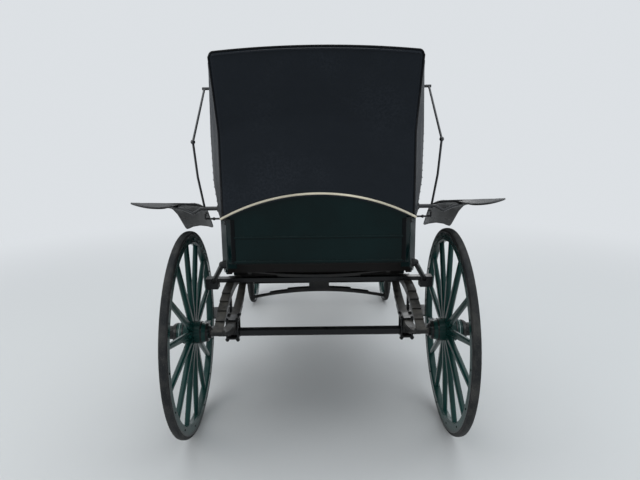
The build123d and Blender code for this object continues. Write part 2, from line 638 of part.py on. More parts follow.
def build_body():
    """Hollow body: sides, back, floor, seats and boot."""
    outer, inner = plan_wall(0), plan_wall(PANEL)
    back_y, front_y = REAR_Y + BODY_BACK_Y + PANEL, REAR_Y + BOOT_END - PANEL
    between = block((0, WIDE), (back_y, front_y), (0, HOOD_TOP_Z))
    right = (outer - inner) & side_view(side_outline(), 0, WIDE) & between
    save("body_side_right", right)
    save("body_side_left", mirrored(right))
    save("body_back", back_panel(0, BODY_BACK_Y, PANEL) & outer)
    floor = side_view(floor_outline(), -WIDE, WIDE) & inner
    save("body_floor", floor)

    deck = block((-WIDE, WIDE), (REAR_Y + BOOT_START, front_y), (BOOT_TOP_Z - FLOOR, BOOT_TOP_Z))
    closing = block((-WIDE, WIDE), (REAR_Y + BOOT_START, REAR_Y + BOOT_START + PANEL), (SILL_Z, BOOT_TOP_Z))
    front = block((-BOOT_HALF, BOOT_HALF), (front_y, front_y + PANEL), (BOOT_BOTTOM_Z, BOOT_TOP_Z))
    below = side_view([(BODY_BACK_Y + PANEL, 0), (BOOT_END - PANEL, 0)] + floor_top()[::-1], -WIDE, WIDE)
    save("boot_shell", ((deck + closing) & inner) - below + front)
    seat = block((-WIDE, WIDE), (back_y, REAR_Y + SEAT_FRONT_Y), (SEAT_TOP_Z - FLOOR, SEAT_TOP_Z))
    riser = block((-WIDE, WIDE), (REAR_Y + SEAT_FRONT_Y - PANEL, REAR_Y + SEAT_FRONT_Y), (BODY_STEP_Z, SEAT_TOP_Z))
    save("rear_seat", ((seat + riser) & inner) - below)

    soft_y, soft_half = back_y + SOFT_GAP, BODY_BACK_HALF - PANEL - SOFT_SIDE
    seat_z = SEAT_TOP_Z + SOFT_GAP
    save("rear_cushion", cushion((-soft_half, soft_half), (soft_y, REAR_Y + SEAT_FRONT_Y + CUSHION_NOSE),
                                 (seat_z, seat_z + CUSHION_HEIGHT)))
    save("rear_squab", cushion((-soft_half, soft_half), (soft_y, soft_y + SQUAB_DEPTH),
                               (seat_z + CUSHION_HEIGHT + SOFT_GAP, SQUAB_TOP_Z)))


def build_box():
    """The driver's box: seat chest, cushion, rail and toe board."""
    start, end = REAR_Y + BOX_START, REAR_Y + BOX_END
    chest = block((-BOX_HALF, BOX_HALF), (start, end), (BOOT_TOP_Z, BOX_TOP_Z))
    hollow = block((-BOX_HALF + PANEL, BOX_HALF - PANEL), (start + PANEL, end - PANEL), (BOOT_TOP_Z, BOX_TOP_Z - FLOOR))
    save("box_chest", chest - hollow)
    soft_half = BOX_HALF - BOX_CUSHION_INSET
    save("box_cushion", cushion((-soft_half, soft_half), (start + BOX_CUSHION_BACK, end + BOX_CUSHION_NOSE),
                                (BOX_TOP_Z + SOFT_GAP, BOX_TOP_Z + SOFT_GAP + BOX_CUSHION_HEIGHT)))
    x = BOX_HALF + RAIL_RADIUS
    right = [(x, REAR_Y + y, z) for y, z in RAIL_TURNS]
    rail = bar_path(right + [(-x, y, z) for x, y, z in reversed(right)], RAIL_RADIUS)
    foot_y, foot_z = right[0][1:]
    lug = block((BOX_HALF, x), (foot_y - RAIL_LUG, foot_y + RAIL_LUG), (foot_z - RAIL_LUG, foot_z + RAIL_LUG))
    save("box_rail", rail + lug + mirrored(lug))
    toe = side_view([(BOOT_END, BOOT_BOTTOM_Z), (TOE_END, BOOT_BOTTOM_Z + TOE_RISE),
                     (TOE_END, BOOT_BOTTOM_Z + TOE_RISE + TOE_BOARD), (BOOT_END, BOOT_BOTTOM_Z + TOE_BOARD)],
                    -TOE_HALF, TOE_HALF)
    save("toe_board", toe)


# Hood


LAP = HOOD_WALL + FIT

# Height, y of the back, half width at the back and half width at the main bow
HOOD_LEVELS = [
    (BODY_ELBOW_Z - HOOD_LAP, BODY_BACK_Y - LAP, BODY_BACK_HALF + LAP, BODY_HALF + LAP),
    (BACK_CROWN_Z + HOOD_LAP, BODY_BACK_Y - LAP, BODY_BACK_HALF + LAP, HOOD_LAP_HALF),
    (HOOD_MID_Z, HOOD_MID_BACK_Y, HOOD_BACK_HALF, HOOD_MAIN_HALF),
    (HOOD_TOP_Z + HOOD_WALL, HOOD_TOP_BACK_Y, HOOD_BACK_HALF, HOOD_TOP_HALF),
]


def hood_half_at(z):
    """Half the hood's width ahead of the main bow at height z."""
    for (z0, *_, half0), (z1, *_, half1) in zip(HOOD_LEVELS, HOOD_LEVELS[1:]):
        if z0 <= z <= z1:
            return half0 + (half1 - half0) * (z - z0) / (z1 - z0)


def hood_solid(inset):
    """The hood's outer shape, drawn in by inset, before its front is cut."""
    sections = []
    for z, back, half_back, half_main in HOOD_LEVELS:
        b, m = half_back - inset, half_main - inset
        y0, ym, y1 = REAR_Y + back + inset, REAR_Y + HOOD_MAIN_Y, REAR_Y + HOOD_FRONT_Y + BODY_CORNER
        right = [(b - BODY_CORNER, y0), (b, y0 + BODY_CORNER), (m, ym), (m, y1)]
        left = [(-x, y) for x, y in reversed(right)]
        sections.append(Plane.XY.offset(z) * make_face(Polyline(*(right + left), close=True)))
    walls = loft(sections, ruled=True)
    half = HOOD_MAIN_HALF + BODY_CORNER
    drop = HOOD_CORNER_DROP * (half / HOOD_BACK_HALF) ** 2
    top, low = HOOD_TOP_Z - inset, BACK_BOTTOM_Z
    arch = make_face([ThreePointArc((-half, top - drop), (0, top), (half, top - drop)),
                      Line((half, top - drop), (half, low)), Line((half, low), (-half, low)),
                      Line((-half, low), (-half, top - drop))])
    plane = Plane(origin=(0, REAR_Y + WIDE, 0), x_dir=(1, 0, 0), z_dir=(0, -1, 0))
    return walls & extrude(plane * arch, 2 * WIDE)


def build_hood():
    """Leather hood over its bows, with the props and folding joints outside."""
    outer, inner = hood_solid(0), hood_solid(HOOD_WALL)
    above = HOOD_TOP_Z + 3 * HOOD_LAP
    front = side_view([(HOOD_FOOT_FRONT_Y, BODY_ELBOW_Z - 2 * HOOD_LAP), (HOOD_FRONT_Y, HOOD_TOP_Z - HOOD_FRONT_DROP),
                       (HOOD_FRONT_Y, above), (HOOD_FRONT_Y + WIDE, above),
                       (HOOD_FRONT_Y + WIDE, BODY_ELBOW_Z - 2 * HOOD_LAP)], -WIDE, WIDE)
    nailed = back_panel(HOOD_LAP, BODY_BACK_Y - 2 * LAP, 2 * LAP + BODY_CORNER)
    save("hood_cover", outer - inner - front - nailed)

    tube = hood_solid(HOOD_WALL + BOLT_FIT) - hood_solid(HOOD_WALL + BOLT_FIT + BOW_THICKNESS)
    foot_y, foot_z = HOOD_MAIN_Y, BODY_ELBOW_Z
    slabs = []
    for top_y in BOW_TOPS:
        dy, dz = top_y - foot_y, above - foot_z
        length = math.hypot(dy, dz)
        ny, nz = dz / length * BOW_WIDTH / 2, -dy / length * BOW_WIDTH / 2
        slabs.append(side_view([(foot_y - ny, foot_z - nz), (foot_y + ny, foot_z + nz), (top_y + ny, above + nz),
                                (top_y - ny, above - nz)], -WIDE, WIDE))
    fan = slabs[0]
    for slab in slabs[1:]:
        fan = fan + slab
    foot = block((-WIDE, WIDE), (REAR_Y - WIDE, REAR_Y + WIDE), (BACK_BOTTOM_Z, BODY_ELBOW_Z))
    save("hood_bows", (tube & fan) - foot - front)

    turns = [(x, REAR_Y + y, PROP_Z + share * (HOOD_TOP_Z - PROP_Z)) for x, y, share in JOINT_TURNS]
    prop_y, knee, head = REAR_Y + HOOD_MAIN_Y, turns[2], turns[3]
    foot_x = hood_half_at(PROP_Z + PROP_FOOT_RADIUS)
    iron = rod((foot_x, prop_y, PROP_Z), (BODY_HALF + PROP_LENGTH, prop_y, PROP_Z), PROP_RADIUS)
    iron = iron + rod((foot_x, prop_y, PROP_Z), (foot_x + PROP_FOOT, prop_y, PROP_Z), PROP_FOOT_RADIUS)
    iron = iron + bar_path(turns, JOINT_RADIUS) + Pos(*knee) * Sphere(JOINT_KNUCKLE)
    pin_start = hood_half_at(head[2] - JOINT_PIN_RADIUS)
    iron = iron + rod((pin_start, *head[1:]), (head[0] + JOINT_KNUCKLE, *head[1:]), JOINT_PIN_RADIUS)
    save("hood_irons", *both_sides(iron))


# Wings and steps


def wing():
    """The right-hand wing: crowned over the rear wheel, with a pointed blade that reaches out at the back."""
    sections = []
    for y, under in WING_STATIONS:
        over = [(x, z + WING_SHEET) for x, z in reversed(under)]
        plane = Plane(origin=(0, REAR_Y + y, 0), x_dir=(1, 0, 0), z_dir=(0, -1, 0))
        sections.append(plane * make_face(Polyline(*under, *over, close=True)))
    return loft(sections, ruled=True)


def wing_under(y, x):
    """Height of the wing's underside at a point."""
    for (y0, first), (y1, second) in zip(WING_STATIONS, WING_STATIONS[1:]):
        if y0 <= y <= y1:
            share = (y - y0) / (y1 - y0)
            line = [(a + share * (b - a), c + share * (d - c)) for (a, c), (b, d) in zip(first, second)]
            for (xa, za), (xb, zb) in zip(line, line[1:]):
                if xa <= x <= xb:
                    return za + (zb - za) * (x - xa) / (xb - xa)


def post_top(x, y, radius):
    """Height at which an upright post meets the wing's underside."""
    return min(wing_under(y + end, x + side) for end in (-radius, radius) for side in (-radius, radius))


def build_wings():
    """Wings over the rear wheels, their stays and the side steps."""
    right = wing()
    save("wing_right", right)
    save("wing_left", mirrored(right))

    prop_y, prop_end = REAR_Y + HOOD_MAIN_Y, BODY_HALF + PROP_LENGTH
    turns = [(x, prop_y, PROP_Z - drop) for x, drop in BLADE_STAY_TURNS]
    blade_x, _, blade_z = turns[-1]
    blade_top = post_top(blade_x, HOOD_MAIN_Y, BLADE_STAY_RADIUS)
    blade_stay = bar_path([(prop_end, prop_y, PROP_Z), *turns], BLADE_STAY_RADIUS)
    blade_stay = blade_stay + Pos(*turns[-1]) * Sphere(BLADE_STAY_RADIUS)
    blade_stay = blade_stay + rod(turns[-1], (blade_x, prop_y, blade_top), BLADE_STAY_RADIUS)

    edge_y = REAR_Y + EDGE_STAY_Y
    edge_top = post_top(EDGE_STAY_X, EDGE_STAY_Y, EDGE_STAY_RADIUS)
    edge_stay = bar_path([(BODY_HALF, edge_y, EDGE_STAY_Z), (EDGE_STAY_X, edge_y, EDGE_STAY_Z),
                          (EDGE_STAY_X, edge_y, edge_top)], EDGE_STAY_RADIUS)
    edge_stay = edge_stay + Pos(EDGE_BALL_X, edge_y, EDGE_STAY_Z) * Rot(0, 90, 0) * Sphere(EDGE_BALL_RADIUS)
    save("wing_stays", *both_sides(blade_stay), *both_sides(edge_stay))
    x0, x1 = STEP_X
    y0, y1 = REAR_Y + STEP_Y[0], REAR_Y + STEP_Y[1]
    plate = block((x0, x1), (y0, y1), (STEP_Z, STEP_Z + STEP_PLATE))
    middle, x_hanger, z_hanger = (y0 + y1) / 2, x0 + STEP_HANGER_INSET, SILL_Z - STEP_IRON
    hanger = bar_path([(BODY_HALF - STEP_IRON, middle, z_hanger), (x_hanger, middle, z_hanger),
                       (x_hanger, middle, STEP_Z + STEP_PLATE - STEP_HANGER_BITE)], STEP_IRON)
    save("steps", *both_sides(plate + hanger))


# Fore carriage


def ring(low, high):
    """A flat ring of the turntable between two heights."""
    face = Circle(RING_RADIUS + RING_WIDTH / 2) - Circle(RING_RADIUS - RING_WIDTH / 2)
    return extrude(Plane(origin=(0, FRONT_Y, low)) * face, high - low)


def build_fore_carriage():
    """Turntable, beds, springs, futchells, splinter bar and pole socket."""
    side = elliptic((FRONT_SPRING_X, FRONT_Y, FRONT_EYE_Z), True, FRONT_SPRING_HALF, FRONT_SPRING_RISE,
                    FRONT_LEAVES, SPRING_WIDTH)
    save("front_springs", *[half for shape in side for half in both_sides(shape)])
    save("front_spring_clips", *both_sides(axle_seats(FRONT_SPRING_X, FRONT_Y, FRONT_AXLE_TOP, FRONT_LEAVES)))

    half = BED_DEPTH / 2
    reach = FRONT_SPRING_X + SPRING_WIDTH / 2
    bed = block((-reach, reach), (FRONT_Y - half, FRONT_Y + half), (FRONT_CROWN_Z, LOWER_BED_TOP))
    bore = rod((0, FRONT_Y, FRONT_CROWN_Z - BED_HEIGHT), (0, FRONT_Y, LOWER_BED_TOP + BED_HEIGHT),
               KING_PIN_RADIUS + KING_PIN_CLEARANCE)
    save("lower_bed", (bed - bore) + ring(LOWER_BED_TOP, LOWER_BED_TOP + RING_THICKNESS))
    upper_ring = ring(RING_SPLIT_Z + RING_GAP / 2, UPPER_BED_BOTTOM)
    span = RING_RADIUS + RING_WIDTH
    upper = block((-span, span), (FRONT_Y - half, FRONT_Y + half), (UPPER_BED_BOTTOM, BOOT_BOTTOM_Z))
    along = block((-half, half), (FRONT_Y - span, REAR_Y + BOOT_END), (UPPER_BED_BOTTOM, BOOT_BOTTOM_Z))
    nut_top = FRONT_CROWN_Z - RING_GAP
    pin = rod((0, FRONT_Y, nut_top - KING_NUT_HEIGHT), (0, FRONT_Y, UPPER_BED_BOTTOM), KING_PIN_RADIUS)
    nut = rod((0, FRONT_Y, nut_top - KING_NUT_HEIGHT), (0, FRONT_Y, nut_top), KING_NUT_RADIUS)
    save("upper_bed", upper + along + upper_ring + pin + nut)

    low, high = FRONT_CROWN_Z - FUTCHELL_SIZE, FRONT_CROWN_Z
    futchell = block((FUTCHELL_X - FUTCHELL_SIZE / 2, FUTCHELL_X + FUTCHELL_SIZE / 2),
                     (FRONT_Y + FUTCHELL_BACK, FRONT_Y + SPLINTER_Y + SPLINTER_RADIUS), (low, high))
    inside = FUTCHELL_X - FUTCHELL_SIZE / 2
    sway = block((-inside, inside), (FRONT_Y + FUTCHELL_BACK, FRONT_Y + FUTCHELL_BACK + FUTCHELL_SIZE), (low, high))
    save("futchells", futchell + sway + mirrored(futchell))
    splinter = rod((-SPLINTER_HALF, FRONT_Y + SPLINTER_Y, high + SPLINTER_RADIUS),
                   (SPLINTER_HALF, FRONT_Y + SPLINTER_Y, high + SPLINTER_RADIUS), SPLINTER_RADIUS)
    collar_top = high + 2 * SPLINTER_RADIUS + TRACE_PIN_COLLAR
    neck_top = collar_top + TRACE_PIN_NECK
    for x in TRACE_PIN_XS:
        spot = (x, FRONT_Y + SPLINTER_Y)
        splinter = splinter + rod((*spot, high + SPLINTER_RADIUS), (*spot, collar_top), TRACE_PIN_COLLAR_RADIUS)
        splinter = splinter + rod((*spot, collar_top - 1), (*spot, neck_top + 1), TRACE_PIN_NECK_RADIUS)
        splinter = splinter + rod((*spot, neck_top), (*spot, neck_top + TRACE_PIN_LENGTH), TRACE_PIN_RADIUS)
    save("splinter_bar", splinter)

    nose = FRONT_Y + NOSE_REACH
    axis_z = high - POLE_RADIUS - POLE_SOCKET_WALL
    tube = rod((0, nose - POLE_SOCKET_LENGTH, axis_z), (0, nose, axis_z), POLE_RADIUS + POLE_SOCKET_WALL)
    hollow = rod((0, nose - POLE_SOCKET_LENGTH, axis_z), (0, nose, axis_z), POLE_RADIUS)
    for y in (nose - POLE_SOCKET_LENGTH + JAW_INSET, FRONT_Y + SPLINTER_Y - SPLINTER_RADIUS):
        tube = tube + block((-inside, inside), (y, y + JAW_THICKNESS), (low, high))
    save("pole_socket", tube - hollow)


build_wheels()
build_rear_gear()
build_body()
build_box()
build_hood()
build_wings()
build_fore_carriage()
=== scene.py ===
"""Dresses the four-wheeled hooded carriage: leather, cushions, tyres, mouldings, fittings and paint."""
import sys
import json
import logging
import math
from dataclasses import dataclass, field
from enum import Enum
from typing import Callable, Iterable, Sequence

import bmesh
import bpy
import numpy as np
from mathutils import Matrix, Vector


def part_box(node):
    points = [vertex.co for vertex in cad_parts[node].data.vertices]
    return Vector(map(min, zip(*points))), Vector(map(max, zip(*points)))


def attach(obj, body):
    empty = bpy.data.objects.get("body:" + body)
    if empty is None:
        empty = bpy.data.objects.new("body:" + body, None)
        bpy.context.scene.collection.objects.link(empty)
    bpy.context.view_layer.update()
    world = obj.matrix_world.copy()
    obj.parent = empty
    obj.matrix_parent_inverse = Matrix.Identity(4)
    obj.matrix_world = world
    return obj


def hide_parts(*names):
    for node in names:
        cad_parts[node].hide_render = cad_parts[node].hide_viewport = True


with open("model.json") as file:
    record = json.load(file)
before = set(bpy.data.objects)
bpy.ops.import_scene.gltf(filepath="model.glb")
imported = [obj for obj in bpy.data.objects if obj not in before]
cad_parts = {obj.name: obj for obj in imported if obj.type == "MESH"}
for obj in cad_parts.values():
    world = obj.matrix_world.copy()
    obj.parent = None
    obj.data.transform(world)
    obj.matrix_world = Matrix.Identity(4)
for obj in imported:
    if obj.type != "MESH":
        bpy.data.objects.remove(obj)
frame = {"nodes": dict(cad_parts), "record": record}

log = logging.getLogger("carriage")

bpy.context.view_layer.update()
MM = 0.001
REAR_Y = -1219.0
FRONT_Y = 1081.0
UP = (0.0, 0.0, 1.0)
BACK = (0.0, -1.0, 0.0)
QUARTER = math.pi / 2
Pair = tuple[float, float]
Point = tuple[float, float, float]
Colour = tuple[float, float, float]


class Body(Enum):
    """The carriage's moving bodies besides its wheels."""

    CARRIAGE = "carriage"
    FORE = "fore_carriage"


class Side(Enum):
    """The carriage's two sides, seen from behind."""

    LEFT = -1
    RIGHT = 1

    @property
    def word(self) -> str:
        """The side's name in lower case."""
        return self.name.lower()

    @property
    def out(self) -> Point:
        """The direction away from the centre line."""
        return float(self.value), 0.0, 0.0

    def spot(self, x: float, y: float, z: float) -> Vector:
        """A point on this side, with x measured outwards from the centre line."""
        return spot(self.value * x, y, z)


def spot(x: float, y: float, z: float) -> Vector:
    """Turns millimetres, with y measured from the rear axle, into a point of the frame."""
    return Vector((x * MM, (REAR_Y + y) * MM, z * MM))


def mix(a: float, b: float, share: float) -> float:
    """The value a share of the way from a to b."""
    return a + (b - a) * share


def clamp(value: float, low: float = 0.0, high: float = 1.0) -> float:
    """Keeps a value between two limits."""
    return max(low, min(high, value))


def bump_at(distance: float, width: float) -> float:
    """A smooth hill of height 1 at distance 0."""
    return math.exp(-(distance / width) ** 2)


def read_table(table: Sequence[tuple[float, ...]], place: float) -> tuple[float, ...]:
    """Reads a table at a place, straight between its rows.

    Args:
        table: Rows that start with their place, in rising order.
        place: Where to read.

    Returns:
        The other values of the row there, or of the nearest end.
    """
    for low, high in zip(table, table[1:]):
        if place <= high[0]:
            break
    share = clamp((place - low[0]) / (high[0] - low[0]))
    return tuple(mix(a, b, share) for a, b in zip(low[1:], high[1:]))


def times(colour: Colour, factor: float) -> Colour:
    """A colour made lighter or darker."""
    return tuple(part * factor for part in colour)


# Node wiring


@dataclass
class Graph:
    """A node tree under construction."""

    tree: bpy.types.NodeTree

    def feed(self, socket: bpy.types.NodeSocket,
             value: "Wire | bpy.types.NodeSocket | float | tuple") -> None:
        """Links or sets an input.

        Args:
            socket: The input.
            value: A wire or an output to link, or a plain value.
        """
        if isinstance(value, Wire):
            value = value.socket
        if isinstance(value, bpy.types.NodeSocket):
            self.tree.links.new(value, socket)
        else:
            socket.default_value = value

    def node(self, kind: str, settings: dict | None = None, inputs: dict | None = None) -> bpy.types.Node:
        """Adds one node.

        Args:
            kind: The node's type.
            settings: Its properties, set first.
            inputs: Wires, outputs or values for its inputs, by name or number.

        Returns:
            The node.
        """
        made = self.tree.nodes.new(kind)
        for name, value in (settings or {}).items():
            setattr(made, name, value)
        for name, value in (inputs or {}).items():
            self.feed(made.inputs[name], value)
        return made


@dataclass
class Wire:
    """A shader value: an output of a material's node, with arithmetic."""

    tree: bpy.types.NodeTree
    socket: bpy.types.NodeSocket

    def maths(self, operation: str, *values: "Wire | float") -> "Wire":
        """The result of a Math node on the values in order."""
        node = Graph(self.tree).node("ShaderNodeMath", {"operation": operation}, dict(enumerate(values)))
        return Wire(self.tree, node.outputs[0])

    def __add__(self, other: "Wire | float") -> "Wire":
        """Sum."""
        return self.maths("ADD", self, other)

    __radd__ = __add__

    def __sub__(self, other: "Wire | float") -> "Wire":
        """Difference."""
        return self.maths("SUBTRACT", self, other)

    def __rsub__(self, other: float) -> "Wire":
        """Difference from a number."""
        return self.maths("SUBTRACT", other, self)

    def __mul__(self, other: "Wire | float") -> "Wire":
        """Product."""
        return self.maths("MULTIPLY", self, other)

    __rmul__ = __mul__

    def above(self, low: float, high: float) -> "Wire":
        """A mask that rises smoothly from 0 at low to 1 at high.

        Args:
            low: Where the mask starts to rise.
            high: Where it is full.

        Returns:
            The mask.
        """
        node = Graph(self.tree).node("ShaderNodeMapRange", {"interpolation_type": "SMOOTHSTEP"},
                                     {"Value": self, "From Min": low, "From Max": high})
        return Wire(self.tree, node.outputs["Result"])


@dataclass
class Shader(Graph):
    """A material's tree under construction."""

    @property
    def surface(self) -> bpy.types.Node:
        """The material's main surface."""
        return self.tree.nodes["Principled BSDF"]

    def dress(self, inputs: dict[str, "Wire | bpy.types.NodeSocket | float | tuple"]) -> None:
        """Links or sets the surface's inputs by name."""
        for name, value in inputs.items():
            self.feed(self.surface.inputs[name], value)

    def wire(self, socket: bpy.types.NodeSocket) -> Wire:
        """Wraps a socket for arithmetic."""
        return Wire(self.tree, socket)

    def place(self, stretch: Point = (1.0, 1.0, 1.0)) -> bpy.types.NodeSocket:
        """The surface's own coordinates in metres, scaled by stretch."""
        where = self.node("ShaderNodeTexCoord").outputs["Object"]
        return self.node("ShaderNodeMapping", inputs={"Vector": where, "Scale": stretch}).outputs["Vector"]

    def noise(self, scale: float, detail: float = 3.0, rough: float = 0.55,
              stretch: Point = (1.0, 1.0, 1.0)) -> Wire:
        """Cloudy noise between about 0.3 and 0.7.

        Args:
            scale: Clouds to the metre.
            detail: Octaves.
            rough: Weight of the fine octaves.
            stretch: Scale along the three axes.

        Returns:
            The noise.
        """
        node = self.node("ShaderNodeTexNoise", inputs={"Vector": self.place(stretch), "Scale": scale,
                                                      "Detail": detail, "Roughness": rough})
        return self.wire(node.outputs["Fac"])

    def cells(self, scale: float, feature: str = "F1") -> Wire:
        """Distance inside a field of cells, scale of them to the metre."""
        inputs = {"Vector": self.place(), "Scale": scale}
        return self.wire(self.node("ShaderNodeTexVoronoi", {"feature": feature}, inputs).outputs["Distance"])

    def facing_up(self) -> Wire:
        """How far the surface faces up on the piece at rest, from -1 to 1."""
        where = self.node("ShaderNodeTexCoord").outputs["Normal"]
        return self.wire(self.node("ShaderNodeSeparateXYZ", inputs={"Vector": where}).outputs["Z"])

    def rounded(self, radius: float) -> bpy.types.NodeSocket:
        """The normal with the edges rounded by a radius in metres."""
        return self.node("ShaderNodeBevel", {"samples": 4}, {"Radius": radius}).outputs["Normal"]

    def tint(self, base: "bpy.types.NodeSocket | Colour", other: Colour, share: Wire) -> bpy.types.NodeSocket:
        """Lays another colour over a base where share says.

        Args:
            base: A colour or the socket of one.
            other: The colour on top.
            share: Its cover, from 0 to 1.

        Returns:
            The mixed colour's socket.
        """
        under = base if isinstance(base, bpy.types.NodeSocket) else (*base, 1.0)
        node = self.node("ShaderNodeMix", {"data_type": "RGBA"}, {0: share, 6: under, 7: (*other, 1.0)})
        return node.outputs[2]

    def relief(self, height: Wire, depth: float,
               under: bpy.types.NodeSocket | None = None) -> bpy.types.NodeSocket:
        """A bump of a given depth in metres.

        Args:
            height: The relief, from 0 to 1.
            depth: Its depth.
            under: Another normal that it lies on.

        Returns:
            The normal.
        """
        inputs: dict = {"Height": height, "Distance": depth, "Strength": 1.0}
        if under is not None:
            inputs["Normal"] = under
        return self.node("ShaderNodeBump", inputs=inputs).outputs["Normal"]


# Finishes


@dataclass(frozen=True)
class Finish:
    """A plain finish that the others start from."""

    name: str
    colour: Colour
    roughness: float = 0.4
    specular: float = 0.5
    coat: float = 0.0
    coat_roughness: float = 0.1
    metallic: float = 0.0
    sheen: float = 0.0

    def make(self) -> bpy.types.Material:
        """Builds the material once.

        Returns:
            The material, or the one that is there.
        """
        name = f"finish_{self.name}"
        if name in bpy.data.materials:
            return bpy.data.materials[name]
        material = bpy.data.materials.new(name)
        material.use_nodes = True
        material.diffuse_color = (*self.colour, 1.0)
        shader = Shader(material.node_tree)
        shader.dress({"Base Color": (*self.colour, 1.0), "Roughness": self.roughness,
                      "Specular IOR Level": self.specular, "Metallic": self.metallic,
                      "Coat Weight": self.coat, "Coat Roughness": self.coat_roughness,
                      "Sheen Weight": self.sheen})
        self.vary(shader)
        return material

    def vary(self, shader: Shader) -> None:
        """Adds what varies over the surface. The plain finish only clouds its roughness."""
        shader.dress({"Roughness": shader.noise(6.0) * 0.12 + (self.roughness - 0.06)})


@dataclass(frozen=True)
class CoachPaint(Finish):
    """Varnished paint: clouded gloss, brush marks, fine dust, worn edges, and matte undersides darkened with
    painted shade.
    """

    dust: Colour = (0.13, 0.12, 0.10)
    dust_cover: float = 0.22
    wear: Colour = (0.12, 0.12, 0.11)
    wear_cover: float = 0.25
    # under: the dark colour laid over downward faces as painted shade
    under: Colour = (0.009, 0.007, 0.0065)
    underside_dull_shade_cover: float = 0.9
    edge: float = 0.0022

    def vary(self, shader: Shader) -> None:
        """Wires colour, roughness, varnish and normal.

        Args:
            shader: The material's tree.
        """
        clouds = shader.noise(3.2, 4.0)
        specks = shader.noise(160.0, 2.0, 0.7)
        soft = shader.rounded(self.edge)
        flat = shader.node("ShaderNodeNewGeometry").outputs["Normal"]
        bend = shader.node("ShaderNodeVectorMath", {"operation": "DOT_PRODUCT"}, {0: soft, 1: flat})
        edge = (1.0 - shader.wire(bend.outputs["Value"])).above(0.03, 0.22)
        worn = edge * shader.noise(34.0, 3.0, 0.7).above(0.46, 0.62) * self.wear_cover
        facing = shader.facing_up()
        film = shader.noise(46.0, 5.0, 0.7) * 0.6 + shader.noise(5.0, 3.0, 0.5) * 0.4
        settled = facing.above(0.35, 0.95) * film.above(0.3, 0.72) * self.dust_cover
        spotted = specks.above(0.66, 0.72) * self.dust_cover * 0.6
        # Downward faces turn matte and are darkened towards the under colour: painted shade
        dull_shaded_underside = (facing * -1.0).above(0.3, 0.75) * self.underside_dull_shade_cover
        colour = shader.tint(self.colour, times(self.colour, 1.5), clouds.above(0.35, 0.7))
        colour = shader.tint(colour, self.wear, worn)
        colour = shader.tint(colour, self.dust, settled + spotted)
        rough = clouds * 0.12 + (self.roughness - 0.05)
        rough = rough + settled * 1.2 + worn * 0.5 + spotted * 0.6 + dull_shaded_underside * 0.65
        brushed = shader.noise(22.0, 2.0, 0.5, (1.0, 1.0, 0.35))
        grain = shader.relief(specks, 0.00005, soft)
        shader.dress({"Base Color": shader.tint(colour, self.under, dull_shaded_underside), "Roughness": rough,
                      "Coat Weight": (1.0 - dull_shaded_underside) * (1.0 - settled * 2.0) * self.coat,
                      "Normal": shader.relief(brushed, 0.0004, grain)})


@dataclass(frozen=True)
class SpringIron(CoachPaint):
    """Painted iron that has gone brown in patches and dusty on top."""

    rust: Colour = (0.034, 0.03, 0.026)
    rust_cover: float = 0.5

    def vary(self, shader: Shader) -> None:
        """Wires colour, roughness and normal.

        Args:
            shader: The material's tree.
        """
        clouds = shader.noise(14.0, 5.0, 0.65)
        fine = shader.noise(210.0, 3.0, 0.7)
        brown = clouds.above(0.4, 0.62) * self.rust_cover
        dusty = shader.noise(26.0, 4.0).above(0.3, 0.6)
        settled = shader.facing_up().above(0.3, 0.9) * dusty * self.dust_cover
        colour = shader.tint(shader.tint(self.colour, self.rust, brown), self.dust, settled)
        skin = shader.relief(fine, 0.0002, shader.rounded(self.edge))
        shader.dress({"Base Color": colour, "Roughness": brown * 0.25 + settled * 0.4 + self.roughness,
                      "Normal": shader.relief(clouds, 0.0008, skin)})


@dataclass(frozen=True)
class Rubber(Finish):
    """Worn solid rubber with pale road dust and small nicks."""

    dust: Colour = (0.25, 0.235, 0.21)

    def vary(self, shader: Shader) -> None:
        """Wires colour, roughness and normal.

        Args:
            shader: The material's tree.
        """
        clouds = shader.noise(11.0, 5.0, 0.6)
        fine = shader.noise(240.0, 3.0, 0.75)
        nicks = shader.cells(70.0).above(0.0, 0.16)
        cover = clouds.above(0.36, 0.76) * 0.16 + fine.above(0.6, 0.7) * 0.4
        shader.dress({"Base Color": shader.tint(self.colour, self.dust, cover),
                      "Roughness": cover * 0.3 + self.roughness,
                      "Normal": shader.relief(nicks, 0.0005, shader.relief(fine, 0.0003))})


@dataclass(frozen=True)
class Leather(Finish):
    """Leather: pebbled grain, long soft creases, rubbed pale where it is worn, darker fine cracks."""

    grain: float = 520.0
    grain_depth: float = 0.00035
    crease: float = 7.0
    crease_depth: float = 0.0035
    rubbed: Colour = (0.09, 0.09, 0.092)
    rubbed_cover: float = 0.35

    def vary(self, shader: Shader) -> None:
        """Wires colour, roughness and normal.

        Args:
            shader: The material's tree.
        """
        pebbles = shader.cells(self.grain)
        crackle = shader.cells(self.grain * 0.16, "DISTANCE_TO_EDGE").above(0.0, 0.05)
        folds = shader.noise(self.crease, 3.0, 0.45, (1.0, 1.0, 2.4))
        clouds = shader.noise(2.6, 5.0, 0.6)
        fine = shader.noise(90.0, 3.0, 0.7)
        rub = clouds.above(0.45, 0.72) * fine.above(0.35, 0.65) * self.rubbed_cover
        cracked = (1.0 - crackle) * clouds.above(0.5, 0.66) * 0.25
        colour = shader.tint(self.colour, self.rubbed, rub)
        skin = shader.relief(pebbles, self.grain_depth)
        lined = shader.relief(crackle, self.grain_depth * 0.8, skin)
        shader.dress({"Base Color": shader.tint(colour, times(self.colour, 0.4), cracked),
                      "Roughness": clouds * 0.22 + rub * 0.25 + (self.roughness - 0.1),
                      "Normal": shader.relief(folds, self.crease_depth, lined)})


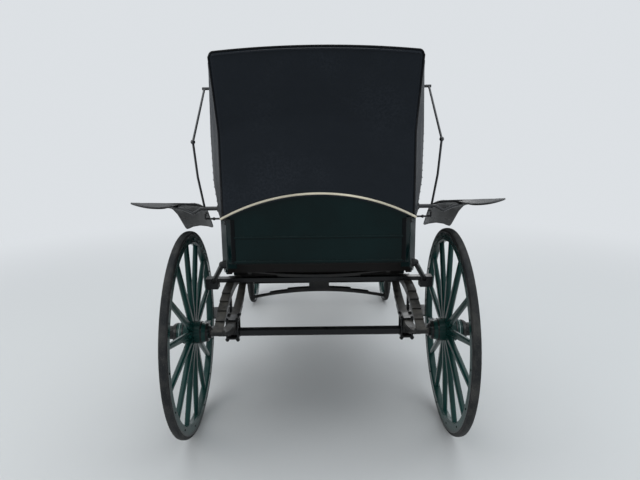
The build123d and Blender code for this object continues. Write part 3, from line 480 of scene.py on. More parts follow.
@dataclass(frozen=True)
class LiningCloth(Finish):
    """Woven wool cloth inside the hood."""

    threads: float = 900.0

    def vary(self, shader: Shader) -> None:
        """Wires colour, roughness and normal.

        Args:
            shader: The material's tree.
        """
        split = shader.node("ShaderNodeSeparateXYZ", inputs={"Vector": shader.place()}).outputs
        across = shader.wire(split["Y"]) * self.threads
        along = (shader.wire(split["X"]) + shader.wire(split["Z"])) * self.threads
        weave = across.maths("SINE", across) * along.maths("SINE", along) * 0.5 + 0.5
        felt = shader.noise(60.0, 4.0, 0.7)
        shader.dress({"Base Color": shader.tint(self.colour, times(self.colour, 1.8), weave * felt),
                      "Roughness": felt * 0.2 + (self.roughness - 0.1),
                      "Normal": shader.relief(weave, 0.0004, shader.relief(felt, 0.0008))})


@dataclass(frozen=True)
class VarnishedWood(Finish):
    """Bent ash under varnish: long grain lines and darker streaks."""

    streak: Colour = (0.028, 0.018, 0.012)

    def vary(self, shader: Shader) -> None:
        """Wires colour, roughness and normal.

        Args:
            shader: The material's tree.
        """
        lines = shader.noise(46.0, 5.0, 0.7, (3.0, 0.35, 0.35))
        clouds = shader.noise(5.0, 3.0)
        colour = shader.tint(self.colour, self.streak, lines.above(0.42, 0.6) * 0.45)
        shader.dress({"Base Color": shader.tint(colour, times(self.colour, 1.5), clouds * 0.4),
                      "Roughness": lines * 0.25 + (self.roughness - 0.1),
                      "Normal": shader.relief(lines, 0.0005)})


@dataclass(frozen=True)
class FloorFinish(Finish):
    """The studio's plain pale floor, which turns into the background away from the carriage."""

    far_colour: Colour = (0.72, 0.75, 0.78)
    near: float = 2.2
    far: float = 6.5

    def vary(self, shader: Shader) -> None:
        """Wires the roughness and the far floor's plain colour.

        Args:
            shader: The material's tree.
        """
        shader.dress({"Roughness": shader.noise(2.0) * 0.1 + 0.75})
        path = shader.node("ShaderNodeLightPath").outputs
        camera, mirror = shader.wire(path["Is Camera Ray"]), shader.wire(path["Is Glossy Ray"])
        reach = shader.node("ShaderNodeVectorMath", {"operation": "LENGTH"}, {0: shader.place()})
        away = shader.wire(reach.outputs["Value"]).above(self.near, self.far)
        plain = shader.node("ShaderNodeEmission", inputs={"Color": (*self.far_colour, 1.0)})
        seen = camera.maths("MAXIMUM", camera, mirror) * away
        blend = shader.node("ShaderNodeMixShader", inputs={0: seen, 1: shader.surface.outputs[0],
                                                           2: plain.outputs[0]})
        shader.feed(shader.tree.nodes["Material Output"].inputs["Surface"], blend.outputs[0])


BODY_PAINT = CoachPaint("body_green_black", (0.0013, 0.0078, 0.008), 0.17, 0.08, 0.06, 0.06, dust_cover=0.1)
# The back pillars' near-black paint is a painted reflection of the dark wheels on the glossy back
PILLAR_REFLECTION_PAINT = CoachPaint("pillar_painted_reflection", (0.001, 0.0018, 0.0024), 0.2, 0.07, 0.05, 0.08, dust_cover=0.08,
                          wear_cover=0.1)
SIDE_PAINT = CoachPaint("side_green_black", (0.0013, 0.0078, 0.008), 0.42, 0.06, 0.0, 0.06, dust_cover=0.1)
WHEEL_PAINT = CoachPaint("wheel_dark_green", (0.003, 0.028, 0.0245), 0.2, 0.16, 0.13, 0.08, dust_cover=0.07,
                         underside_dull_shade_cover=0.0)
BLACK_IRON = CoachPaint("black_iron", (0.004, 0.0048, 0.0056), 0.24, 0.2, 0.14, 0.1, dust_cover=0.16,
                        wear_cover=0.3, underside_dull_shade_cover=0.4)
# The stays' lighter, bluer colour is a painted highlight; their higher gloss and varnish are real
STAY_IRON_PAINTED_HIGHLIGHT = CoachPaint("stay_iron_painted_highlight", (0.006, 0.0075, 0.010), 0.22, 0.5, 0.35, 0.1, dust_cover=0.16,
                       wear_cover=0.3, underside_dull_shade_cover=0.0)
SPRING_IRON = SpringIron("spring_leaves", (0.008, 0.0088, 0.0088), 0.34, 0.24, 0.1, 0.2, dust_cover=0.35)
CREAM_PAINT = CoachPaint("cream_moulding", (0.62, 0.56, 0.43), 0.3, 0.5, 0.2, 0.1, dust=(0.2, 0.17, 0.13),
                         wear=(0.12, 0.09, 0.06), dust_cover=0.3, underside_dull_shade_cover=0.2)
LINE_PAINT = CoachPaint("pale_line", (0.36, 0.45, 0.44), 0.3, 0.5, dust_cover=0.4, underside_dull_shade_cover=0.0)
TYRE_RUBBER = Rubber("tyre_rubber", (0.012, 0.0135, 0.015), 0.62, 0.2)
HOOD_LEATHER = Leather("hood_leather", (0.0078, 0.0112, 0.0158), 0.46, 0.14, rubbed=(0.028, 0.034, 0.043),
                       rubbed_cover=0.4)
WELT_LEATHER = Leather("welt_leather", (0.0022, 0.0028, 0.0038), 0.36, 0.14, grain_depth=0.0002,
                       crease_depth=0.0004)
WING_LEATHER = Leather("patent_leather", (0.0032, 0.0038, 0.0048), 0.28, 0.045, 0.02, 0.08, grain=900.0,
                       grain_depth=0.0001, crease_depth=0.0012, rubbed=(0.03, 0.033, 0.037),
                       rubbed_cover=0.15)
SEAT_LEATHER = Leather("seat_leather", (0.018, 0.0172, 0.0168), 0.34, 0.3, crease=16.0, crease_depth=0.0016,
                       rubbed=(0.05, 0.048, 0.047))
LINING = LiningCloth("hood_lining", (0.012, 0.014, 0.018), 0.9, 0.3, sheen=0.3)
BOW_WOOD = VarnishedWood("bow_wood", (0.045, 0.029, 0.018), 0.38, 0.4, 0.15, 0.1)
FLOOR = FloorFinish("studio_floor", (0.66, 0.66, 0.65), 0.8, 0.2)


# Mesh making


def add_object(name: str, data: bpy.types.ID) -> bpy.types.Object:
    """Puts a mesh, a lamp or a camera into the scene at the origin.

    Args:
        name: The object's name.
        data: The mesh, the lamp or the camera.

    Returns:
        The object.
    """
    made = bpy.data.objects.new(name, data)
    bpy.context.scene.collection.objects.link(made)
    return made


def object_from(name: str, verts: Sequence[Sequence[float]], faces: Sequence[Sequence[int]],
                finishes: Sequence[Finish], smooth_angle: float = 35.0) -> bpy.types.Object:
    """Makes a mesh object with doubles merged, faces outwards and soft shading.

    Args:
        name: The object's name.
        verts: Points in metres.
        faces: Corner numbers.
        finishes: One finish for each material slot.
        smooth_angle: Edges sharper than this, in degrees, stay sharp.

    Returns:
        The object.
    """
    mesh = bpy.data.meshes.new(name)
    mesh.from_pydata([tuple(v) for v in verts], [], [tuple(f) for f in faces])
    for finish in finishes:
        mesh.materials.append(finish.make())
    made = add_object(name, mesh)
    work = bmesh.new()
    work.from_mesh(mesh)
    bmesh.ops.remove_doubles(work, verts=work.verts, dist=0.00005)
    bmesh.ops.dissolve_degenerate(work, dist=0.00001, edges=work.edges)
    bmesh.ops.recalc_face_normals(work, faces=work.faces)
    work.to_mesh(mesh)
    work.free()
    shade(made, smooth_angle)
    return made


def shade(made: bpy.types.Object, smooth_angle: float) -> None:
    """Shades softly, with edges over an angle kept sharp.

    Args:
        made: The object.
        smooth_angle: The angle in degrees.
    """
    for polygon in made.data.polygons:
        polygon.use_smooth = True
    made.data.set_sharp_from_angle(angle=math.radians(smooth_angle))
    made.data.update()


def settle(made: bpy.types.Object, smooth_angle: float) -> bpy.types.Object:
    """Turns what an object's modifiers make into its plain mesh.

    Args:
        made: The object.
        smooth_angle: Edges sharper than this, in degrees, stay sharp.

    Returns:
        The same object.
    """
    graph = bpy.context.evaluated_depsgraph_get()
    graph.update()
    done = bpy.data.meshes.new_from_object(made.evaluated_get(graph), depsgraph=graph)
    old = made.data
    made.modifiers.clear()
    made.data = done
    bpy.data.meshes.remove(old)
    done.name = made.name
    shade(made, smooth_angle)
    return made


def turn_out(made: bpy.types.Object, outward: Callable[[bmesh.types.BMFace], float]) -> None:
    """Turns an open skin's faces round where they look inwards.

    Args:
        made: The skin, its faces alike already.
        outward: Says of a face how far it looks outwards.
    """
    work = bmesh.new()
    work.from_mesh(made.data)
    if sum(outward(face) for face in work.faces) < 0:
        bmesh.ops.reverse_faces(work, faces=work.faces)
    work.to_mesh(made.data)
    work.free()


def add_wall(made: bpy.types.Object, thickness: float, smooth_angle: float, lining: int = 0) -> None:
    """Gives a skin a wall on its inner side.

    Args:
        made: The skin.
        thickness: The wall in millimetres.
        smooth_angle: Edges sharper than this, in degrees, stay sharp.
        lining: How many material slots on the inner side's finish lies.
    """
    shell = made.modifiers.new("thickness", "SOLIDIFY")
    shell.thickness = thickness * MM
    shell.offset = -1.0
    shell.material_offset = lining
    settle(made, smooth_angle)


def grid_faces(rows: int, cols: int, start: int = 0) -> list[tuple[int, ...]]:
    """Faces of a grid of points, row by row.

    Args:
        rows: Rows of points.
        cols: Points in a row.
        start: Number of the first point.

    Returns:
        The faces' corner numbers.
    """
    corners = [start + r * cols + c for r in range(rows - 1) for c in range(cols - 1)]
    return [(n, n + 1, n + cols + 1, n + cols) for n in corners]


def tube_faces(rings: int, size: int, closed: bool) -> list[tuple[int, ...]]:
    """Faces of rings of points that follow one another.

    Args:
        rings: How many rings.
        size: Points in a ring.
        closed: Whether the last ring joins the first. If not, both ends get a face.

    Returns:
        The faces' corner numbers.
    """
    faces: list[tuple[int, ...]] = []
    for ring in range(rings if closed else rings - 1):
        low, high = ring * size, (ring + 1) % rings * size
        for corner in range(size):
            after = (corner + 1) % size
            faces.append((low + corner, low + after, high + after, high + corner))
    if not closed:
        faces += [tuple(range(size)), tuple(range((rings - 1) * size, rings * size))]
    return faces


def circle(radius: float, sides: int) -> list[Pair]:
    """A round profile."""
    turns = [2 * math.pi * k / sides for k in range(sides)]
    return [(radius * math.cos(a), radius * math.sin(a)) for a in turns]


def half_round(width: float, height: float, sides: int = 8) -> list[Pair]:
    """The profile of a half-round moulding that stands on a surface."""
    turns = [math.pi * k / sides for k in range(sides + 1)]
    return [(width / 2 * math.cos(a), height * math.sin(a)) for a in turns]


def bead(name: str, points: Sequence[Vector], profile: Sequence[Pair], up: Point | None, finish: Finish,
         closed: bool = False, smooth_angle: float = 35.0) -> bpy.types.Object:
    """Sweeps a profile along a path.

    Args:
        name: The object's name.
        points: The path in metres.
        profile: The section's (across, up) points in millimetres.
        up: The direction that the section stands towards, or none to carry it along without a twist.
        finish: Its finish.
        closed: Whether the path runs round to its start.
        smooth_angle: Edges sharper than this, in degrees, stay sharp.

    Returns:
        The object.
    """
    verts: list[Vector] = []
    count = len(points)
    across = None
    for number, here in enumerate(points):
        ahead = points[(number + 1) % count] if closed else points[min(number + 1, count - 1)]
        behind = points[number - 1] if closed or number else points[0]
        way = (ahead - behind).normalized()
        if up is not None:
            across = way.cross(Vector(up)).normalized()
            rise = across.cross(way).normalized()
        else:
            across = way.orthogonal().normalized() if across is None else across
            across = (across - way * across.dot(way)).normalized()
            rise = way.cross(across)
        verts.extend(here + across * (a * MM) + rise * (b * MM) for a, b in profile)
    return object_from(name, verts, tube_faces(count, len(profile), closed), [finish], smooth_angle)


def joined(name: str, pieces: Sequence[bpy.types.Object]) -> bpy.types.Object:
    """Joins pieces of one finish or more into one object.

    Args:
        name: The new name.
        pieces: The pieces, which are used up.

    Returns:
        The object.
    """
    work = bmesh.new()
    materials: list[bpy.types.Material] = []
    for piece in pieces:
        start = len(work.faces)
        materials += [material for material in piece.data.materials if material not in materials]
        slots = [materials.index(material) for material in piece.data.materials]
        work.from_mesh(piece.data)
        work.faces.ensure_lookup_table()
        for face in work.faces[start:]:
            face.material_index = slots[face.material_index]
    mesh = bpy.data.meshes.new(name)
    work.to_mesh(mesh)
    work.free()
    for material in materials:
        mesh.materials.append(material)
    for piece in pieces:
        old = piece.data
        bpy.data.objects.remove(piece)
        bpy.data.meshes.remove(old)
    return add_object(name, mesh)


def dress_piece(made: bpy.types.Object, slot: str, *nodes: str, body: str = Body.CARRIAGE.value) -> None:
    """Gives a piece its body, and hides the nodes that it stands for.

    Args:
        made: The piece.
        slot: The record's material slot; not used.
        nodes: The nodes that it replaces.
        body: The body that it moves with.
    """
    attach(made, body)
    if nodes:
        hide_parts(*nodes)
    log.info("made %s on %s", made.name, body)


# Repeated fittings


class Fitting(Enum):
    """The small shapes that repeat."""

    NUT = "hexagon nut"
    DOME = "domed nail"
    BUTTON = "covered button"
    STITCH = "stitch"


@dataclass
class Row:
    """Places of one kind of fitting on one body, with its radius and height in millimetres."""

    name: str
    kind: Fitting
    finish: Finish
    radius: float
    height: float
    slot: str = "black_iron"
    body: str = Body.CARRIAGE.value
    # A nut's washer, hexagon and bolt end: sides, radius, bottom and top
    nut: tuple = ((16, 1.12, -0.1, 0.16), (6, 1.0, 0.1, 0.85), (12, 0.55, 0.6, 1.25))
    points: list[Vector] = field(default_factory=list)
    aims: list[Vector] = field(default_factory=list)

    def add(self, point: Vector, aim: Sequence[float]) -> None:
        """Adds one place and the way that the fitting faces there."""
        self.points.append(Vector(point))
        self.aims.append(Vector(aim).normalized())

    def shape(self, graph: Graph) -> bpy.types.NodeSocket:
        """Adds the shape, one unit in radius and one in height above its seat.

        Args:
            graph: The tree that gets it.

        Returns:
            The shape's socket.
        """
        if self.kind is not Fitting.NUT:
            segments, rings = (12, 7) if self.kind is Fitting.DOME else (16, 9)
            return graph.node("GeometryNodeMeshUVSphere", inputs={"Segments": segments, "Rings": rings,
                                                                  "Radius": 1.0}).outputs["Mesh"]
        join = graph.node("GeometryNodeJoinGeometry")
        for sides, radius, low, high in self.nut:
            drum = graph.node("GeometryNodeMeshCylinder", inputs={"Vertices": sides, "Radius": radius,
                                                                  "Depth": high - low})
            move = graph.node("GeometryNodeTransform", inputs={"Geometry": drum.outputs["Mesh"],
                                                               "Translation": (0.0, 0.0, (high + low) / 2)})
            graph.feed(join.inputs["Geometry"], move.outputs["Geometry"])
        return join.outputs["Geometry"]

    def tree(self) -> bpy.types.NodeTree:
        """Builds the tree that puts the shape at each point.

        Returns:
            The tree, or the one that is there.
        """
        name = f"fitting {self.kind.value}"
        if name in bpy.data.node_groups:
            return bpy.data.node_groups[name]
        tree = bpy.data.node_groups.new(name, "GeometryNodeTree")
        for socket, way, kind in (("Geometry", "INPUT", "Geometry"), ("Radius", "INPUT", "Float"),
                                  ("Height", "INPUT", "Float"), ("Material", "INPUT", "Material"),
                                  ("Geometry", "OUTPUT", "Geometry")):
            tree.interface.new_socket(name=socket, in_out=way, socket_type=f"NodeSocket{kind}")
        graph = Graph(tree)
        start = graph.node("NodeGroupInput")
        radius, height = start.outputs["Radius"], start.outputs["Height"]
        size = graph.node("ShaderNodeCombineXYZ", inputs={"X": radius, "Y": radius, "Z": height})
        aim = graph.node("GeometryNodeInputNamedAttribute", {"data_type": "FLOAT_VECTOR"}, {"Name": "aim"})
        turn = graph.node("FunctionNodeAlignRotationToVector", {"axis": "Z"},
                          {"Vector": aim.outputs["Attribute"]})
        place = graph.node("GeometryNodeInstanceOnPoints",
                           inputs={"Points": start.outputs["Geometry"], "Instance": self.shape(graph),
                                   "Rotation": turn.outputs["Rotation"], "Scale": size.outputs["Vector"]})
        real = graph.node("GeometryNodeRealizeInstances", inputs={"Geometry": place.outputs["Instances"]})
        coat = graph.node("GeometryNodeSetMaterial", inputs={"Geometry": real.outputs["Geometry"],
                                                             "Material": start.outputs["Material"]})
        graph.node("NodeGroupOutput", inputs={"Geometry": coat.outputs["Geometry"]})
        return tree

    def make(self) -> None:
        """Makes the fittings as one plain mesh on their body."""
        mesh = bpy.data.meshes.new(self.name)
        mesh.from_pydata([tuple(p) for p in self.points], [], [])
        aims = mesh.attributes.new("aim", "FLOAT_VECTOR", "POINT")
        aims.data.foreach_set("vector", [c for aim in self.aims for c in aim])
        made = add_object(self.name, mesh)
        tree = self.tree()
        modifier = made.modifiers.new("fittings", "NODES")
        modifier.node_group = tree
        sockets = {item.name: item.identifier for item in tree.interface.items_tree
                   if item.item_type == "SOCKET" and item.in_out == "INPUT"}
        modifier[sockets["Radius"]] = self.radius * MM
        modifier[sockets["Height"]] = self.height * MM
        modifier[sockets["Material"]] = self.finish.make()
        settle(made, 32.0)
        dress_piece(made, self.slot, body=self.body)


# Hood


@dataclass
class Hood:
    """The raised leather hood over its bows, with its welts, bindings and nails."""

    # z, then the back's y, half the width at the back and half the width at the main bow
    levels: tuple = ((1242.0, -337.5, 451.0, 532.0), (1392.0, -337.5, 452.0, 552.0),
                     (1640.0, -356.0, 448.0, 556.0), (1992.0, -480.0, 456.0, 546.0))
    bow_tops: tuple = (-330.0, -40.0, 250.0, 500.0)
    pivot: Pair = (20.0, 1262.0)
    bow_reach_z: float = 2045.0
    # Shares of the way to the main bow between which the side turns over it
    turn_from: float = 0.88
    turn_to: float = 1.12
    roof_z: float = 1998.0
    roof_drop: float = 20.0
    roof_half: float = 440.0
    shoulder: float = 24.0
    shoulder_z: float = 1950.0
    back_corner: float = 20.0
    # Rough distance from the back edge to the front edge
    length: float = 1000.0
    front_foot: Pair = (70.0, 1222.0)
    brow: Pair = (560.0, 1925.0)
    sag: float = 15.0
    full_bay: float = 300.0
    tight_foot: float = 90.0
    leather: float = 4.6
    lap: float = 20.0
    arch_half: float = 445.5
    arch_elbow: float = 1262.0
    arch_crown: float = 1372.0
    arch_back: float = -338.0
    moulding_reach: float = 457.0
    moulding_size: Pair = (11.0, 6.5)
    # The foot bands: height, y of both ends, width and thickness
    band_z: float = 1249.0
    band_ends: Pair = (-316.0, 84.0)
    band_size: Pair = (16.0, 2.6)
    # y of a band's first and last nail, heights of the main bow's, and how far behind its turn they lie
    band_nails: Pair = (-300.0, 74.0)
    bow_nails: Pair = (1290.0, 1890.0)
    bow_inset: float = 8.0
    # The arch's studs: distance from the centre line, y, and how far they lie below the arch
    stud_at: Pair = (434.0, -341.0)
    stud_drops: Pair = (24.0, 38.0)
    side_rows: int = 26
    corner_rows: int = 6
    roof_cols: int = 18
    stations: int = 70
    back_half: float = 430.0
    back_sag: float = 7.0
    wander: float = 9.0
    # Creases in the back panel: x and z of both ends, depth and width
    back_creases: tuple = (
        (-40.0, 1700.0, 330.0, 1420.0, 3.96, 16.0), (-330.0, 1545.0, 260.0, 1520.0, 3.24, 12.0),
        (-250.0, 1490.0, 360.0, 1500.0, 2.52, 10.0), (-400.0, 1880.0, -250.0, 1700.0, 3.6, 18.0),
        (400.0, 1885.0, 270.0, 1690.0, 3.6, 18.0), (-410.0, 1320.0, -280.0, 1460.0, 3.6, 15.0),
        (410.0, 1320.0, 300.0, 1470.0, 3.24, 15.0), (60.0, 1900.0, 20.0, 1560.0, 1.8, 26.0))

    def half_at(self, y: float, z: float) -> float:
        """Half the hood's width at a point of its side, rounded where the main bow turns it.

        Args:
            y: Distance ahead of the rear axle.
            z: Height.

        Returns:
            The half width in millimetres.
        """
        back, narrow, wide = read_table(self.levels, z)
        share = (y - back) / (self.pivot[0] - back)
        if share > self.turn_from:
            share = min(share, self.turn_to)
            share -= (share - self.turn_from) ** 2 / (2 * (self.turn_to - self.turn_from))
        return mix(narrow, wide, share)

    def front_at(self, z: float) -> float:
        """The front edge's y at height z, straight from its foot to the brow and upright above it."""
        (y0, z0), (y1, z1) = self.front_foot, self.brow
        return y1 if z >= z1 else y0 + (z - z0) * (y1 - y0) / (z1 - z0)

    def roof_at(self, x: float) -> float:
        """The roof's height at a distance from the centre line."""
        return self.roof_z - self.roof_drop * (x / self.roof_half) ** 2

    def depth_at(self, z: float, share: float) -> float:
        """The y of a height, a share of the way from the back edge to the front edge."""
        return mix(read_table(self.levels, z)[0], self.front_at(z), share)

    def hollow(self, y: float, z: float) -> float:
        """How far the leather hangs in between two bows.

        Args:
            y: Distance ahead of the rear axle.
            z: Height.

        Returns:
            The depth in millimetres.
        """
        lean = (z - self.pivot[1]) / (self.bow_reach_z - self.pivot[1])
        bows = [self.pivot[0] + (top - self.pivot[0]) * lean for top in self.bow_tops]
        lines = sorted([read_table(self.levels, z)[0], *bows, self.front_at(z)])
        for a, b in zip(lines, lines[1:]):
            if a <= y <= b and b > a:
                swell = max(math.sin(math.pi * (y - a) / (b - a)), 0.0) ** 1.4
                return self.sag * min((b - a) / self.full_bay, 1.0) ** 1.3 * swell
        return 0.0

    def side_at(self, y: float, z: float) -> float:
        """Distance of the side's leather from the centre line, with its hollows, which end at its foot."""
        return self.half_at(y, z) - self.hollow(y, z) * clamp((z - self.pivot[1]) / self.tight_foot)

    def section(self, share: float) -> list[tuple[Point, Pair]]:
        """Points from the left foot over the roof to the right foot.

        Args:
            share: 0 at the back edge, 1 at the front edge.

        Returns:
            Points in millimetres from the rear axle, each with its outward direction in x and z.
        """
        half: list[tuple[Point, Pair]] = []
        wide = self.half_at(self.depth_at(self.roof_z, share), self.shoulder_z)
        flat = wide - self.shoulder
        turn_z = self.roof_at(flat) - self.shoulder
        for k in range(self.side_rows):
            z = mix(self.levels[0][0], turn_z, k / (self.side_rows - 1))
            y = self.depth_at(z, share)
            half.append(((self.side_at(y, z), y, z), (1.0, 0.0)))
        for k in range(1, self.corner_rows + 1):
            a = QUARTER * k / self.corner_rows
            z = turn_z + self.shoulder * math.sin(a)
            y = self.depth_at(z, share)
            z -= self.hollow(y, z) * math.sin(a)
            x = flat + self.shoulder * math.cos(a) - self.hollow(y, z) * math.cos(a)
            half.append(((x, y, z), (math.cos(a), math.sin(a))))
        for k in range(1, self.roof_cols + 1):
            x = flat * (1 - k / self.roof_cols)
            z = self.roof_at(x)
            y = self.depth_at(z, share)
            half.append(((x, y, z - self.hollow(y, z)), (0.0, 1.0)))
        left = [((-x, y, z), (-a, b)) for (x, y, z), (a, b) in half]
        return left + half[-2::-1]

    def arch_at(self, x: float) -> float:
        """Height of the body's arched back.

        Args:
            x: Distance from the centre line.

        Returns:
            The height in millimetres.
        """
        rise = self.arch_crown - self.arch_elbow
        radius = (self.arch_half ** 2 + rise ** 2) / (2 * rise)
        return self.arch_crown - radius + math.sqrt(max(radius ** 2 - x ** 2, 0.0))

    def back_dent(self, x: float, z: float) -> float:
        """How far the back panel lies inside its plane.

        Args:
            x: Distance to the right of the centre line.
            z: Height.

        Returns:
            The depth in millimetres, with the creases and nothing at the edges.
        """
        low = self.arch_at(x) - self.lap
        up = clamp((z - low) / (self.roof_at(x) - low))
        inside = clamp(1 - abs(x) / self.back_half)
        dent = self.back_sag * math.sin(math.pi * up) * math.sin(QUARTER * inside)
        for x0, z0, x1, z1, depth, width in self.back_creases:
            dx, dz = x1 - x0, z1 - z0
            part = clamp(((x - x0) * dx + (z - z0) * dz) / (dx ** 2 + dz ** 2))
            wave = self.wander * math.sin(part * 7.0 + x0)
            off = math.hypot(x - x0 - part * dx, z - z0 - part * dz - wave)
            fade = math.sin(math.pi * clamp(0.08 + part * 0.84))
            dent += depth * fade * (bump_at(off, width) - 0.7 * bump_at(off - 1.9 * width, width))
        return dent * clamp(inside * 9.0) * clamp(up * 14.0) * clamp((1 - up) * 12.0)

    def corner_rings(self, steps: int = 5) -> list[list[Point]]:
        """Rounds the cover's turn from the back panel to its sides and roof.

        Args:
            steps: Steps of the turn.

        Returns:
            Rings of points from the back panel's edge outwards.
        """
        edge = self.section(0.0)
        rings = []
        for k in range(steps + 1):
            a = QUARTER * (1 - k / steps)
            off, ahead = self.back_corner * (1 - math.cos(a)), self.back_corner * (1 - math.sin(a))
            rings.append([(x - nx * off, y + ahead, z - nz * off) for (x, y, z), (nx, nz) in edge])
        return rings

    def back_panel(self, border: Sequence[Point]) -> tuple[list[Point], int]:
        """Fills the back between the body's arch and the cover's edge.

        Args:
            border: The edge from the left foot over the roof to the right foot.

        Returns:
            Points row by row from the arch up, and how many rows there are.
        """
        rows = self.side_rows + self.corner_rows // 2
        left, right = border[:rows], border[:-rows - 1:-1]
        top = border[rows - 1:len(border) - rows + 1]
        last = len(top) - 1
        arch = []
        for c in range(len(top)):
            x = mix(left[0][0], right[0][0], c / last)
            arch.append((x, left[0][1], self.arch_at(x) - self.lap))
        points = []
        for r in range(rows):
            for c in range(len(top)):
                s, t = c / last, r / (rows - 1)
                place = []
                for axis in range(3):
                    low, high = left[0][axis], left[-1][axis]
                    edges = mix(arch[c][axis], top[c][axis], t) + mix(left[r][axis], right[r][axis], s)
                    corners = mix(mix(low, right[0][axis], s), mix(high, right[-1][axis], s), t)
                    place.append(edges - corners)
                if 0 < r < rows - 1 and 0 < c < last:
                    place[1] += self.back_dent(place[0], place[2])
                points.append(tuple(place))
        return points, rows

    def cover(self) -> bpy.types.Object:
        """Makes the cover as one closed sheet of leather with its lining.

        Returns:
            The cover.
        """
        rings = self.corner_rings()
        for k in range(1, self.stations + 1):
            share = mix(self.back_corner / self.length, 1.0, k / self.stations)
            rings.append([place for place, _ in self.section(share)])
        panel, rows = self.back_panel(rings[0])
        cols = len(rings[0])
        verts = [spot(*place) for ring in rings for place in ring] + [spot(*place) for place in panel]
        faces = grid_faces(len(rings), cols) + grid_faces(rows, len(panel) // rows, len(rings) * cols)
        made = object_from("hood_leather_cover", verts, faces, [HOOD_LEATHER, LINING], 50.0)
        middle = spot(0.0, 20.0, 1600.0)
        turn_out(made, lambda face: face.normal.dot(face.calc_center_median() - middle) * face.calc_area())
        add_wall(made, self.leather, 60.0, lining=1)
        return made

    def seam_paths(self) -> dict[str, list[Vector]]:
        """The paths of the back's welt and of the front's binding.

        Returns:
            Points in metres by the piece's name.
        """
        off = self.back_corner * (1 - math.cos(math.pi / 4)) - 1.5
        welt = [spot(x - nx * off, y + off, z - nz * off) for (x, y, z), (nx, nz) in self.section(0.0)]
        brow = [spot(x, y - 3.0, z - nz) for (x, y, z), (nx, nz) in self.section(1.0)]
        return {"hood_back_welt": welt, "hood_front_binding": brow}

    def build(self) -> None:
        """Makes the hood's pieces."""
        cover = self.cover()
        dress_piece(cover, "hood_leather", "hood_cover")
        for name, path in self.seam_paths().items():
            radius = 4.2 if name.endswith("welt") else 5.5
            welt = bead(name, path, circle(radius, 10), None, WELT_LEATHER, smooth_angle=60.0)
            dress_piece(welt, "hood_leather")
        self.build_bands()
        self.build_nails()

    def build_bands(self) -> None:
        """Makes the bands over the hood's lower edges and the pale moulding over the body's arched back."""
        bands = []
        for side in Side:
            path = [side.spot(self.half_at(y, self.band_z + 1.0) + 0.6, y, self.band_z)
                    for y in np.linspace(*self.band_ends, 25)]
            bands.append(bead("band", path, half_round(*self.band_size), side.out, WELT_LEATHER))
        dress_piece(joined("hood_foot_bands", bands), "hood_leather")
        reach = self.moulding_reach
        arc = [spot(x, self.arch_back, self.arch_at(x) - 7.0) for x in np.linspace(-reach, reach, 61)]
        moulding = bead("hood_arch_moulding", arc, half_round(*self.moulding_size), BACK, CREAM_PAINT)
        dress_piece(moulding, "body_paint")

    def build_nails(self) -> None:
        """Makes the nails along the hood's edges and down its main bow, and the studs at the arch's ends."""
        nails = Row("hood_nails", Fitting.DOME, BLACK_IRON, 4.2, 2.6)
        studs = Row("arch_studs", Fitting.DOME, BLACK_IRON, 6.5, 6.0)
        bow_y = self.pivot[0] - self.bow_inset
        stud_x, stud_y = self.stud_at
        for side in Side:
            for y in np.linspace(*self.band_nails, 12):
                nails.add(side.spot(self.half_at(y, self.band_z + 1.0) + 2.8, y, self.band_z), side.out)
            for z in np.linspace(*self.bow_nails, 17):
                nails.add(side.spot(self.side_at(bow_y, z), bow_y, z), side.out)
            for drop in self.stud_drops:
                studs.add(side.spot(stud_x, stud_y, self.arch_at(stud_x) - drop), BACK)
        nails.make()
        studs.make()


# Wings


